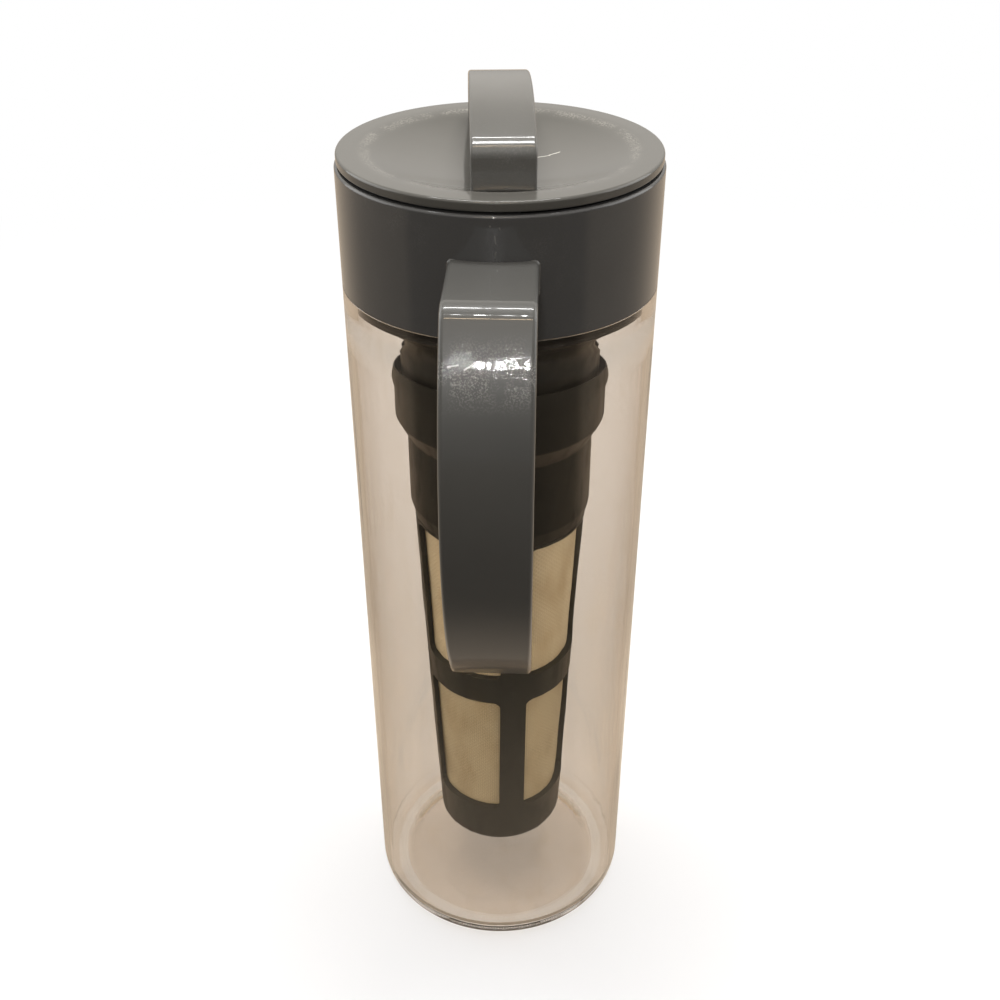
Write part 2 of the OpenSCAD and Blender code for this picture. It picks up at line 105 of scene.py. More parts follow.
def arc(centre: Point, radius: float, start: float, end: float, steps: int) -> list[Point]:
    """Points along an arc.

    Args:
        centre: Centre of the arc.
        radius: Radius of the arc.
        start: First angle in degrees.
        end: Last angle in degrees.
        steps: Number of straight steps.

    Returns:
        The points, both ends included.
    """
    angles = [math.radians(start + (end - start) * i / steps) for i in range(steps + 1)]
    return [(centre[0] + radius * math.cos(a), centre[1] + radius * math.sin(a)) for a in angles]


def rounded(corners: list[Corner], closed: bool) -> list[Point]:
    """Outline through corners, each with a round of its own.

    Args:
        corners: Two coordinates and the radius of the round at each corner.
        closed: Whether the last corner joins the first.

    Returns:
        The outline's points, with each round drawn in steps of about ten degrees.
    """
    points: list[Point] = []
    count = len(corners)
    for i, (x, y, radius) in enumerate(corners):
        if radius <= 0 or not (closed or 0 < i < count - 1):
            points.append((x, y))
            continue
        here = Vector((x, y))
        back = (Vector(corners[i - 1][:2]) - here).normalized()
        ahead = (Vector(corners[(i + 1) % count][:2]) - here).normalized()
        half = math.acos(max(-1.0, min(1.0, back.dot(ahead)))) / 2
        middle = here + (back + ahead).normalized() * (radius / math.sin(half))
        first = here + back * (radius / math.tan(half)) - middle
        last = here + ahead * (radius / math.tan(half)) - middle
        start = math.atan2(first.y, first.x)
        sweep = (math.atan2(last.y, last.x) - start + math.pi) % math.tau - math.pi
        steps = max(2, math.ceil(abs(sweep) / math.radians(10)))
        points += arc(tuple(middle), radius, math.degrees(start), math.degrees(start + sweep), steps)
    return points


def rounded_box(left: float, right: float, low: float, high: float, radius: float = 0.0) -> list[Point]:
    """Closed rectangle between two sides and two heights, with one round at its corners."""
    corners = ((left, low), (right, low), (right, high), (left, high))
    return rounded([(x, y, radius) for x, y in corners], True)


def thread_section(root: float, crest: float, middle: float) -> list[Point]:
    """Section of a thread's ridge at its start, wide at the root and rounded at the crest.

    Args:
        root: Radius at which it is buried in its wall.
        crest: Radius of its crest.
        middle: Height of its middle.

    Returns:
        The closed section's points.
    """
    root_half, crest_half, crest_round = 1.0, 0.5, 0.25
    return rounded([(root, middle - root_half, 0), (crest, middle - crest_half, crest_round),
                    (crest, middle + crest_half, crest_round), (root, middle + root_half, 0)], True)


def upright(outline: list[Point], turn: float = 0.0) -> list[Vector]:
    """Points of a profile, as radius and height, stood in the plane at a turn about the axis."""
    spun = Matrix.Rotation(math.radians(turn), 3, "Z")
    return [spun @ Vector((r * MM, 0.0, z * MM)) for r, z in outline]


# Modelling, as by hand: a primitive, edit mode, applied modifiers

def pick(piece: bpy.types.Object) -> None:
    """Makes a piece the only one selected and the active one.

    Args:
        piece: Piece to pick.
    """
    bpy.ops.object.select_all(action="DESELECT")
    piece.select_set(True)
    bpy.context.view_layer.objects.active = piece


def draw_line(name: str, points: list[Vector], closed: bool) -> bpy.types.Object:
    """Draws edges from point to point, and leaves the piece in edit mode.

    Args:
        name: Name of the new piece.
        points: Places of the vertices, in metres.
        closed: Whether the line comes back to its first point.

    Returns:
        The piece, with all of its edges selected.
    """
    bpy.ops.object.select_all(action="DESELECT")
    bpy.ops.mesh.primitive_plane_add(size=MM)
    piece = bpy.context.object
    piece.name = name
    piece.data.name = name
    bpy.ops.object.mode_set(mode="EDIT")
    bpy.ops.mesh.select_all(action="SELECT")
    bpy.ops.mesh.merge(type="CENTER")
    bpy.ops.transform.translate(value=points[0])
    route = points + points[:1] if closed else points
    for here, there in zip(route, route[1:]):
        bpy.ops.mesh.extrude_vertices_move(TRANSFORM_OT_translate={"value": there - here})
    bpy.ops.mesh.select_all(action="SELECT")
    bpy.ops.mesh.remove_doubles(threshold=WELD)
    return piece


def close_mesh() -> None:
    """Welds doubles, turns all normals outward and leaves edit mode."""
    bpy.ops.mesh.select_all(action="SELECT")
    bpy.ops.mesh.remove_doubles(threshold=WELD)
    bpy.ops.mesh.normals_make_consistent(inside=False)
    bpy.ops.object.mode_set(mode="OBJECT")


def lathe(name: str, outline: list[Point], closed: bool, steps: int = 192) -> bpy.types.Object:
    """Turns a profile about the jar's axis.

    Args:
        name: Name of the new piece.
        outline: Radius and height of the profile's points.
        closed: Whether the profile is a loop; an open one starts and ends on the axis.
        steps: Number of steps round the axis.

    Returns:
        The closed piece.
    """
    piece = draw_line(name, upright(outline), closed)
    bpy.ops.mesh.spin(steps=steps, angle=math.tau, center=(0, 0, 0), axis=(0, 0, 1))
    close_mesh()
    return piece


def sector(name: str, outline: list[Point], middle: float, sweep: float, steps: int) -> bpy.types.Object:
    """Turns a closed profile through part of a circle.

    Args:
        name: Name of the new piece.
        outline: Radius and height of the profile's points.
        middle: Turn of the sector's middle in degrees.
        sweep: Angle that it covers in degrees.
        steps: Number of steps along it.

    Returns:
        The closed piece.
    """
    piece = draw_line(name, upright(outline, middle - sweep / 2), True)
    bpy.ops.mesh.edge_face_add()
    bpy.ops.mesh.spin(steps=steps, angle=math.radians(sweep), center=(0, 0, 0), axis=(0, 0, 1))
    close_mesh()
    return piece


def prism(name: str, outline: list[Vector], push: Vector) -> bpy.types.Object:
    """Fills a closed outline and pushes it out straight.

    Args:
        name: Name of the new piece.
        outline: Points of the outline, in metres.
        push: Way and length of the push, in metres.

    Returns:
        The closed piece.
    """
    piece = draw_line(name, outline, True)
    bpy.ops.mesh.edge_face_add()
    bpy.ops.mesh.extrude_region_move(TRANSFORM_OT_translate={"value": push})
    close_mesh()
    return piece


def apply_modifier(piece: bpy.types.Object, kind: str, **settings: object) -> None:
    """Adds a modifier with its settings and applies it.

    Args:
        piece: Piece that gets it.
        kind: Modifier type.
        settings: Properties of the modifier.
    """
    modifier = piece.modifiers.new(kind.lower(), kind)
    for key, value in settings.items():
        setattr(modifier, key, value)
    pick(piece)
    bpy.ops.object.modifier_apply(modifier=modifier.name)


def combine(piece: bpy.types.Object, tools: list[bpy.types.Object], operation: str = "DIFFERENCE") -> None:
    """Cuts tools out of a piece, or joins them to it, and removes the tools.

    Args:
        piece: Piece that is kept.
        tools: Closed pieces that are used up.
        operation: Boolean operation, a cut unless it is stated.
    """
    for tool in tools:
        apply_modifier(piece, "BOOLEAN", operation=operation, solver="EXACT", object=tool)
        mesh = tool.data
        bpy.data.objects.remove(tool)
        bpy.data.meshes.remove(mesh)


def soften(piece: bpy.types.Object, width: float, segments: int = 4, angle: float = 50.0) -> None:
    """Rounds a piece's sharp edges to a width in millimetres."""
    apply_modifier(piece, "BEVEL", width=width * MM, segments=segments, limit_method="ANGLE",
                   angle_limit=math.radians(angle), use_clamp_overlap=True)


def shade(piece: bpy.types.Object, angle: float = SMOOTH_ANGLE) -> None:
    """Shades a piece smooth, apart from sharp edges.

    Args:
        piece: Finished mesh.
        angle: Angle in degrees above which an edge stays sharp.
    """
    pick(piece)
    bpy.ops.object.shade_smooth_by_angle(angle=math.radians(angle))
    apply_modifier(piece, "WEIGHTED_NORMAL", keep_sharp=True, weight=80)


def ridge(name: str, section: list[Point], turns: float, pitch: float) -> bpy.types.Object:
    """Helical thread ridge with closed ends, which starts at +X and rises to the left.

    Args:
        name: Name of the new piece.
        section: Radius and height of the section's corners at its start.
        turns: Number of turns.
        pitch: Rise of one turn.

    Returns:
        The closed ridge.
    """
    piece = draw_line(name, upright(section), True)
    bpy.ops.object.mode_set(mode="OBJECT")
    steps_per_turn = 72
    steps = round(steps_per_turn * turns)
    apply_modifier(piece, "SCREW", axis="Z", angle=math.tau * turns, screw_offset=pitch * turns * MM,
                   steps=steps, render_steps=steps)
    pick(piece)
    bpy.ops.object.mode_set(mode="EDIT")
    bpy.ops.mesh.select_all(action="SELECT")
    bpy.ops.mesh.fill_holes(sides=0)
    close_mesh()
    return piece


def turned_copy(piece: bpy.types.Object, name: str, angle: float) -> bpy.types.Object:
    """Copies a piece with a mesh of its own, turned about the jar's axis.

    Args:
        piece: Piece to copy.
        name: Name of the copy.
        angle: Turn in degrees.

    Returns:
        The copy.
    """
    twin = piece.copy()
    twin.data = piece.data.copy()
    twin.name = name
    twin.data.name = name
    bpy.context.collection.objects.link(twin)
    twin.data.transform(Matrix.Rotation(math.radians(angle), 4, "Z"))
    return twin


# Finishes

class Kind(Enum):
    """Kinds of shader nodes in the finishes and the studio."""

    AXES = "ShaderNodeSeparateXYZ"
    BACKGROUND = "ShaderNodeBackground"
    BLEND = "ShaderNodeMixShader"
    BUMP = "ShaderNodeBump"
    CLOUDS = "ShaderNodeTexNoise"
    COORDINATES = "ShaderNodeTexCoord"
    DIFFUSE = "ShaderNodeBsdfDiffuse"
    EMISSION = "ShaderNodeEmission"
    GEOMETRY = "ShaderNodeNewGeometry"
    LIGHT_PATH = "ShaderNodeLightPath"
    MATHS = "ShaderNodeMath"
    MIX = "ShaderNodeMix"
    OUTPUT = "ShaderNodeOutputMaterial"
    PRINCIPLED = "ShaderNodeBsdfPrincipled"
    RANGE = "ShaderNodeMapRange"
    TRANSPARENT = "ShaderNodeBsdfTransparent"
    VECTOR = "ShaderNodeVectorMath"
    WORLD = "ShaderNodeOutputWorld"


WHITE = (1.0, 1.0, 1.0, 1.0)
# settings of a mix of two colours, and of a range that is eased from its low to its high end
COLOURS = {"data_type": "RGBA"}
EASED = {"interpolation_type": "SMOOTHSTEP"}


def linear(colour: str) -> tuple[float, float, float, float]:
    """Linear colour of an sRGB hex colour.

    Args:
        colour: Hash sign and six hex digits.

    Returns:
        Red, green and blue from 0 to 1, and full cover.
    """
    parts = [int(colour[i:i + 2], 16) / 255 for i in (1, 3, 5)]
    light = [p / 12.92 if p <= 0.04045 else ((p + 0.055) / 1.055) ** 2.4 for p in parts]
    return (light[0], light[1], light[2], 1.0)


def add_node(tree: Tree, kind: Kind, inputs: dict | tuple, **settings: object) -> Node:
    """Adds a node, sets it, and links or fills its sockets.

    Args:
        tree: Tree that gets the node.
        kind: Kind of node.
        inputs: What goes into its sockets, by name or number, or from the first one on. A node or a socket
            is linked, anything else is set.
        settings: Properties of the node.

    Returns:
        The node. Linked as it is, it gives its first output, or the colour of a mix.
    """
    node = tree.nodes.new(kind.value)
    for key, value in settings.items():
        setattr(node, key, value)
    for key, value in inputs.items() if isinstance(inputs, dict) else enumerate(inputs):
        if isinstance(value, Node):
            value = value.outputs[2 if value.bl_idname == Kind.MIX.value else 0]
        if isinstance(value, Socket):
            tree.links.new(value, node.inputs[key])
        else:
            node.inputs[key].default_value = value
    return node


def new_tree(name: str) -> tuple[bpy.types.Material, Tree]:
    """New material with an empty node tree.

    Args:
        name: Name of the material.

    Returns:
        The material and its tree.
    """
    material = bpy.data.materials.new(name)
    material.use_nodes = True
    material.node_tree.nodes.clear()
    return material, material.node_tree


def cloudy(place: Source, size: float, detail: float) -> dict:
    """What makes a cloudy pattern have spots of about a size in millimetres."""
    return {"Vector": place, "Scale": 1 / (size * MM), "Detail": detail, "Roughness": 0.55}


def spots(tree: Tree, place: Socket, size: float, edges: Point,
          draw: Place = (1.0, 1.0, 1.0), detail: float = 4.0) -> Node:
    """Mask of uneven spots, or of runs.

    Args:
        tree: Tree that gets the nodes.
        place: Place on the piece, in metres.
        size: Size of a spot in millimetres.
        edges: Values of the pattern at which a spot starts and is full.
        draw: Scale by axis, below 1 along the axis on which spots are drawn out into runs.
        detail: Amount of fine detail.

    Returns:
        A mask that is 1 in the middle of a spot.
    """
    drawn = add_node(tree, Kind.VECTOR, (place, draw), operation="MULTIPLY")
    clouds = add_node(tree, Kind.CLOUDS, cloudy(drawn, size, detail))
    return add_node(tree, Kind.RANGE, (clouds, *edges), **EASED)


def ring_zone(tree: Tree, place: Socket, radius: float, width: float) -> Node:
    """Mask of a ring about the jar's axis.

    Args:
        tree: Tree that gets the nodes.
        place: Place on the piece, in metres.
        radius: Radius of the ring in millimetres.
        width: Half of its width in millimetres.

    Returns:
        A mask that is 1 on the ring and fades out on both sides.
    """
    flat = add_node(tree, Kind.VECTOR, (place, (1.0, 1.0, 0.0)), operation="MULTIPLY")
    length = add_node(tree, Kind.VECTOR, (flat,), operation="LENGTH").outputs["Value"]
    off = add_node(tree, Kind.MATHS, (length, radius * MM), operation="SUBTRACT")
    away = add_node(tree, Kind.MATHS, (off,), operation="ABSOLUTE")
    return add_node(tree, Kind.RANGE, (away, width * MM, 0.0), **EASED)


def height_zone(tree: Tree, place: Socket, height: float, width: float) -> Node:
    """Mask of a band at a height.

    Args:
        tree: Tree that gets the nodes.
        place: Place on the piece, in metres.
        height: Height of the band's middle in millimetres.
        width: Half of its width in millimetres.

    Returns:
        A mask that is 1 at the height and fades out above and below.
    """
    level = add_node(tree, Kind.AXES, (place,)).outputs["Z"]
    off = add_node(tree, Kind.MATHS, (level, height * MM), operation="SUBTRACT")
    away = add_node(tree, Kind.MATHS, (off,), operation="ABSOLUTE")
    return add_node(tree, Kind.RANGE, (away, width * MM, 0.0), **EASED)


def scratch_glint_mask(tree: Tree, place: Source, start: Place, end: Place, width: float) -> Node:
    """Mask of one broken scratch between two places, where a painted glint goes.

    Args:
        tree: Tree that gets the nodes.
        place: Place on the piece, in metres.
        start: First end in millimetres.
        end: Last end in millimetres.
        width: Half of its width in millimetres.

    Returns:
        A mask that is 1 on the scratch.
    """
    half = (Vector(end) - Vector(start)) / 2
    middle = (Vector(end) + Vector(start)) / 2
    here = add_node(tree, Kind.VECTOR, (place, middle * MM), operation="SUBTRACT")
    run = add_node(tree, Kind.VECTOR, (here, half.normalized()), operation="DOT_PRODUCT").outputs["Value"]
    reach = add_node(tree, Kind.VECTOR, (here,), operation="LENGTH").outputs["Value"]
    run_square = add_node(tree, Kind.MATHS, (run, run), operation="MULTIPLY")
    reach_square = add_node(tree, Kind.MATHS, (reach, reach), operation="MULTIPLY")
    off_square = add_node(tree, Kind.MATHS, (reach_square, run_square), operation="SUBTRACT")
    off = add_node(tree, Kind.MATHS, (off_square,), operation="SQRT")
    # its sides wander by about its own width, and it thins out over its last fifth
    clouds = add_node(tree, Kind.CLOUDS, cloudy(place, 1.4, 2.0))
    wander = add_node(tree, Kind.MATHS, (clouds, 1.6 * width * MM), operation="MULTIPLY")
    side = add_node(tree, Kind.MATHS, (off, wander), operation="ADD")
    across = add_node(tree, Kind.RANGE, (side, 1.9 * width * MM, 1.1 * width * MM), **EASED)
    along = add_node(tree, Kind.MATHS, (run,), operation="ABSOLUTE")
    ends = add_node(tree, Kind.RANGE, (along, half.length * MM, 0.8 * half.length * MM), **EASED)
    return add_node(tree, Kind.MATHS, (across, ends), operation="MULTIPLY")


@dataclass(frozen=True)
class GlossMoulding:
    """Polypropylene from a polished mould: lamps mirror in it as lines, over faint orange peel and scuffs; its
    scratches carry painted glints.
    """

    name: str
    colour: str
    cloud: str
    worn: str
    wear: Wear
    # middle and half width of the worn ring, or of the band of scuffs and painted sheen
    zone: Point = (0.0, 0.0)
    # clouds in which a moulding that is worn all over is scuffed, and how much
    worn_range: Point = (0.5, 0.75)
    worn_share: Point = (0.05, 0.35)
    roughness: float = 0.34
    specular: float = 0.2
    cloud_size: float = 22.0
    # hairline scuffs, drawn about four times coarser than real ones so that they show
    speck_size: float = 0.5
    speck_range: Point = (0.46, 0.62)
    patch_size: float = 7.0
    patch_range: Point = (0.32, 0.55)
    scuff_dulling: float = 0.2
    scuff_rise: float = 24.0
    peel_size: float = 1.6
    peel_depth: float = 0.0008
    seam_rise: float = 0.0
    seam_range: Point = (0.7, 0.1)
    # scratches, painted pale as the glints that they catch, lie on the axes that the plane keeps
    scratch_glint_colour: str = "#a9a8a2"
    plane: Place = (1.0, 0.0, 1.0)
    scratch_w: float = 0.28
    glinting_scratches: tuple[tuple[Place, Place], ...] = ()

    def material(self) -> bpy.types.Material:
        """Builds the material.

        Returns:
            A dark glossy plastic whose scuffed places are paler and duller, partly as painted sheen on the
            handle's bow, with painted glints along its scratches.
        """
        material, tree = new_tree(self.name)
        place = add_node(tree, Kind.COORDINATES, ()).outputs["Object"]
        clouds = add_node(tree, Kind.CLOUDS, cloudy(place, self.cloud_size, 3.0))
        specks = spots(tree, place, self.speck_size, self.speck_range)
        patches = spots(tree, place, self.patch_size, self.patch_range, detail=3.0)
        scuffs = add_node(tree, Kind.MATHS, (specks, patches), operation="MULTIPLY")
        if self.wear is Wear.LID_RIM:
            zone = ring_zone(tree, place, *self.zone)
        elif self.wear is Wear.BOW_SCUFFS_AND_SHEEN:
            # painted sheen: on the handle's bow the scuffed band is drawn paler where lamps make it shine
            zone = height_zone(tree, place, *self.zone)
        else:
            zone = add_node(tree, Kind.RANGE, (clouds, *self.worn_range, *self.worn_share), **EASED)
        scuffs = add_node(tree, Kind.MATHS, (scuffs, zone), operation="MULTIPLY")
        plain = {0: clouds, 6: linear(self.colour), 7: linear(self.cloud)}
        colour = add_node(tree, Kind.MIX, plain, **COLOURS)
        colour = add_node(tree, Kind.MIX, {0: scuffs, 6: colour, 7: linear(self.worn)}, **COLOURS)
        flat = add_node(tree, Kind.VECTOR, (place, self.plane), operation="MULTIPLY")
        # painted glints: each scratch is drawn in the pale colour of the light that it catches, and dulls the
        # gloss
        for start, end in self.glinting_scratches:
            line = scratch_glint_mask(tree, flat, start, end, self.scratch_w)
            colour = add_node(tree, Kind.MIX, {0: line, 6: colour, 7: linear(self.scratch_glint_colour)}, **COLOURS)
            scuffs = add_node(tree, Kind.MATHS, (scuffs, line), operation="MAXIMUM")
        dulling = (scuffs, self.scuff_dulling, self.roughness)
        dull = add_node(tree, Kind.MATHS, dulling, operation="MULTIPLY_ADD")
        # the polished skin mirrors lamps sharply; scuffs and the mould's seam break that mirror up
        peel = add_node(tree, Kind.CLOUDS, cloudy(place, self.peel_size, 1.0))
        rough = add_node(tree, Kind.MATHS, (scuffs, self.scuff_rise, peel), operation="MULTIPLY_ADD")
        side = add_node(tree, Kind.AXES, (place,)).outputs["X"]
        off = add_node(tree, Kind.MATHS, (side,), operation="ABSOLUTE")
        edges = [edge * MM for edge in self.seam_range]
        seam = add_node(tree, Kind.RANGE, (off, *edges, 0.0, self.seam_rise), **EASED)
        height = add_node(tree, Kind.MATHS, (rough, seam), operation="ADD")
        hills = {"Strength": 1.0, "Distance": self.peel_depth * MM, "Height": height}
        skin = add_node(tree, Kind.BUMP, hills)
        shader = add_node(tree, Kind.PRINCIPLED, {
            "Base Color": colour, "Roughness": dull, "IOR": 1.5, "Specular IOR Level": self.specular,
            "Coat Weight": 0.9, "Coat Roughness": 0.03, "Coat IOR": 1.5, "Normal": skin, "Coat Normal": skin})
        add_node(tree, Kind.OUTPUT, {"Surface": shader})
        return material


@dataclass(frozen=True)
class SatinMoulding:
    """Polypropylene from an eroded mould: its fine grain spreads lamps into soft, dim sheens."""

    name: str
    colour: str
    cloud: str
    roughness: float = 0.37
    cloud_size: float = 14.0
    # tea film and runs of dried drops that dull the gloss
    film_draw: Place = (1.0, 1.0, 0.3)
    film_size: float = 5.0
    film_range: Point = (0.45, 0.7)
    film_dulling: float = 0.16
    grain_size: float = 0.5
    grain_depth: float = 0.0015

    def material(self) -> bpy.types.Material:
        """Builds the material.

        Returns:
            A satin plastic with fine grain and slightly uneven gloss.
        """
        material, tree = new_tree(self.name)
        place = add_node(tree, Kind.COORDINATES, ()).outputs["Object"]
        clouds = add_node(tree, Kind.CLOUDS, cloudy(place, self.cloud_size, 3.0))
        plain = {0: clouds, 6: linear(self.colour), 7: linear(self.cloud)}
        colour = add_node(tree, Kind.MIX, plain, **COLOURS)
        film = spots(tree, place, self.film_size, self.film_range, self.film_draw)
        dulling = (film, self.film_dulling, self.roughness)
        dull = add_node(tree, Kind.MATHS, dulling, operation="MULTIPLY_ADD")
        grain = add_node(tree, Kind.CLOUDS, cloudy(place, self.grain_size, 2.0))
        hills = {"Strength": 1.0, "Distance": self.grain_depth * MM, "Height": grain}
        skin = add_node(tree, Kind.BUMP, hills)
        shader = add_node(tree, Kind.PRINCIPLED, {
            "Base Color": colour, "Roughness": dull, "IOR": 1.49, "Specular IOR Level": 0.55, "Normal": skin})
        add_node(tree, Kind.OUTPUT, {"Surface": shader})
        return material


@dataclass(frozen=True)
class ClearMoulding:
    """Clear moulded copolyester: it bends what is behind it, with slight waves, use marks and a warm tint that
    is mostly a painted view of a warm room through the wall.
    """

    name: str
    # warm tints that paint a warm room seen through the wall
    tint: str
    deep_surround_tint: str
    stain: str
    # tint of the light that lamps send through to the inside
    lamp_tint: str = "#f4efe9"
    ior: float = 1.55
    # flow lines of the moulding run up the wall and ripple what is behind it
    flow_draw: Place = (1.0, 1.0, 0.12)
    flow_size: float = 9.0
    flow_depth: float = 0.05
    smear_draw: Place = (1.0, 1.0, 0.35)
    smear_size: float = 12.0
    smear_range: Point = (0.5, 0.8)
    smear_dulling: float = 0.05
    roughness: float = 0.015
    # heights in metres between which the tint deepens down the wall, and clears again at the foot
    deep_range: Point = (0.24, 0.06)
    foot_range: Point = (0.01, 0.05)
    foot_share: float = 0.2

    def material(self) -> bpy.types.Material:
        """Builds the material.

        Returns:
            A clear shader that bends what is seen through it and lets lamps through to the inside.
        """
        material, tree = new_tree(self.name)
        place = add_node(tree, Kind.COORDINATES, ()).outputs["Object"]
        drawn = add_node(tree, Kind.VECTOR, (place, self.flow_draw), operation="MULTIPLY")
        flow = add_node(tree, Kind.CLOUDS, cloudy(drawn, self.flow_size, 2.0))
        hills = {"Strength": 1.0, "Distance": self.flow_depth * MM, "Height": flow}
        skin = add_node(tree, Kind.BUMP, hills)
        smears = spots(tree, place, self.smear_size, self.smear_range, self.smear_draw)
        dulling = (smears, self.smear_dulling, self.roughness)
        dull = add_node(tree, Kind.MATHS, dulling, operation="MULTIPLY_ADD")
        level = add_node(tree, Kind.AXES, (place,)).outputs["Z"]
        # the painted view through the wall darkens a little towards the base, and less in the foot
        foot = add_node(tree, Kind.RANGE, (level, *self.foot_range, self.foot_share), **EASED)
        low = add_node(tree, Kind.RANGE, (level, *self.deep_range), **EASED)
        deep = add_node(tree, Kind.MATHS, (low, foot), operation="MULTIPLY")
        tints = {0: deep, 6: linear(self.tint), 7: linear(self.deep_surround_tint)}
        tint = add_node(tree, Kind.MIX, tints, **COLOURS)
        colour = add_node(tree, Kind.MIX, {0: smears, 6: tint, 7: linear(self.stain)}, **COLOURS)
        clear = add_node(tree, Kind.PRINCIPLED, {
            "Base Color": colour, "Roughness": dull, "IOR": self.ior, "Specular IOR Level": 0.3,
            "Transmission Weight": 1.0, "Normal": skin})
        through = add_node(tree, Kind.TRANSPARENT, {"Color": linear(self.lamp_tint)})
        path = add_node(tree, Kind.LIGHT_PATH, ()).outputs
        both = add_node(tree, Kind.BLEND, (path["Is Shadow Ray"], clear, through))
        add_node(tree, Kind.OUTPUT, {"Surface": both})
        return material


@dataclass(frozen=True)
class SoftSilicone:
    """Moulded silicone rubber: dull, with a fine powdery bloom."""

    name: str
    colour: str
    bloom: str
    bloom_size: float = 3.0
    bloom_range: Point = (0.4, 0.75)
    roughness: Point = (0.5, 0.62)
    grain_size: float = 0.8
    grain_depth: float = 0.01

    def material(self) -> bpy.types.Material:
        """Builds the material.

        Returns:
            A dull rubber with a soft, uneven surface.
        """
        material, tree = new_tree(self.name)
        place = add_node(tree, Kind.COORDINATES, ()).outputs["Object"]
        dust = spots(tree, place, self.bloom_size, self.bloom_range)
        plain = {0: dust, 6: linear(self.colour), 7: linear(self.bloom)}
        colour = add_node(tree, Kind.MIX, plain, **COLOURS)
        dull = add_node(tree, Kind.RANGE, (dust, 0.0, 1.0, *self.roughness), **EASED)
        grain = add_node(tree, Kind.CLOUDS, cloudy(place, self.grain_size, 2.0))
        hills = {"Strength": 1.0, "Distance": self.grain_depth * MM, "Height": grain}
        skin = add_node(tree, Kind.BUMP, hills)
        shader = add_node(tree, Kind.PRINCIPLED, {
            "Base Color": colour, "Roughness": dull, "IOR": 1.41, "Normal": skin})
        add_node(tree, Kind.OUTPUT, {"Surface": shader})
        return material


@dataclass(frozen=True)
class WovenMesh:
    """Plain woven nylon mesh: matt threads with tea stains, and holes that let some of the far side show."""

    name: str
    thread: str
    stain: str
    radius: float
    # the real weave is about 0.2 mm, too fine for the frame, so it is drawn coarser
    pitch: float = 0.9
    thread_range: Point = (0.2, 0.6)
    cover: Point = (0.45, 0.96)
    stain_draw: Place = (1.0, 1.0, 0.45)
    stain_size: float = 11.0
    stain_range: Point = (0.4, 0.75)
    stain_share: float = 0.6
    # share of painted shade on threads where they dip under
    weave_shade_share: float = 0.35
    weave_depth: float = 0.05

    def material(self) -> bpy.types.Material:
        """Builds the material.

        Returns:
            A woven sheet with threads over and under each other, with painted shade where they dip under, and
            small see-through holes.
        """
        material, tree = new_tree(self.name)
        place = add_node(tree, Kind.COORDINATES, ()).outputs["Object"]
        axes = add_node(tree, Kind.AXES, (place,)).outputs
        turn = add_node(tree, Kind.MATHS, (axes["Y"], axes["X"]), operation="ARCTAN2")
        round_rate = math.pi * self.radius / self.pitch
        up_rate = math.pi / (self.pitch * MM)
        round_phase = add_node(tree, Kind.MATHS, (turn, round_rate), operation="MULTIPLY")
        up_phase = add_node(tree, Kind.MATHS, (axes["Z"], up_rate), operation="MULTIPLY")
        across = add_node(tree, Kind.MATHS, (round_phase,), operation="SINE")
        along = add_node(tree, Kind.MATHS, (up_phase,), operation="SINE")
        over = add_node(tree, Kind.MATHS, (across, along), operation="MULTIPLY")
        wefts = add_node(tree, Kind.MATHS, (across,), operation="ABSOLUTE")
        warps = add_node(tree, Kind.MATHS, (along,), operation="ABSOLUTE")
        threads = add_node(tree, Kind.MATHS, (wefts, warps), operation="MAXIMUM")
        cover = add_node(tree, Kind.RANGE, (threads, *self.thread_range, *self.cover), **EASED)
        stains = spots(tree, place, self.stain_size, self.stain_range, self.stain_draw)
        # painted shade: where a thread dips under its neighbour it is drawn darker, towards the stain colour
        weave_shade = add_node(tree, Kind.RANGE, (over, -1.0, 1.0, 0.0, self.weave_shade_share), **EASED)
        stain_and_weave_shade = add_node(tree, Kind.MATHS, (stains, self.stain_share, weave_shade), operation="MULTIPLY_ADD")
        colour = add_node(tree, Kind.MIX, {0: stain_and_weave_shade, 6: linear(self.thread), 7: linear(self.stain)}, **COLOURS)
        hills = {"Strength": 1.0, "Distance": self.weave_depth * MM, "Height": over}
        skin = add_node(tree, Kind.BUMP, hills)
        shader = add_node(tree, Kind.PRINCIPLED, {
            "Base Color": colour, "Roughness": 0.6, "IOR": 1.53, "Alpha": cover, "Normal": skin})
        add_node(tree, Kind.OUTPUT, {"Surface": shader})
        return material


Finish = GlossMoulding | SatinMoulding | ClearMoulding | SoftSilicone | WovenMesh
# the jar's warm tints are a painted view of a warm room seen through its wall
CLEAR_JAR = ClearMoulding("clear_moulded_copolyester", "#ece5dd", "#dfd8cf", "#e4dbcf")
# painted glints: the bright dots and streak down the collar's front are drawn as short pale scratches
COLLAR_GLOSS = GlossMoulding(
    "charcoal_glossy_polypropylene_collar", "#4b4b4b", "#515151", "#6a6966", Wear.ALL_OVER, seam_rise=12.0,
    scratch_glint_colour="#6c6b69", plane=(1.0, 1.0, 1.0), glinting_scratches=(((-0.9, -50.0, 298.7), (-0.7, -50.0, 298.1)),
                                                      ((1.7, -50.0, 298.2), (2.0, -50.0, 297.3)),
                                                      ((0.4, -50.0, 296.0), (0.8, -50.0, 293.2)),
                                                      ((0.8, -50.0, 291.4), (0.5, -50.0, 289.2))))
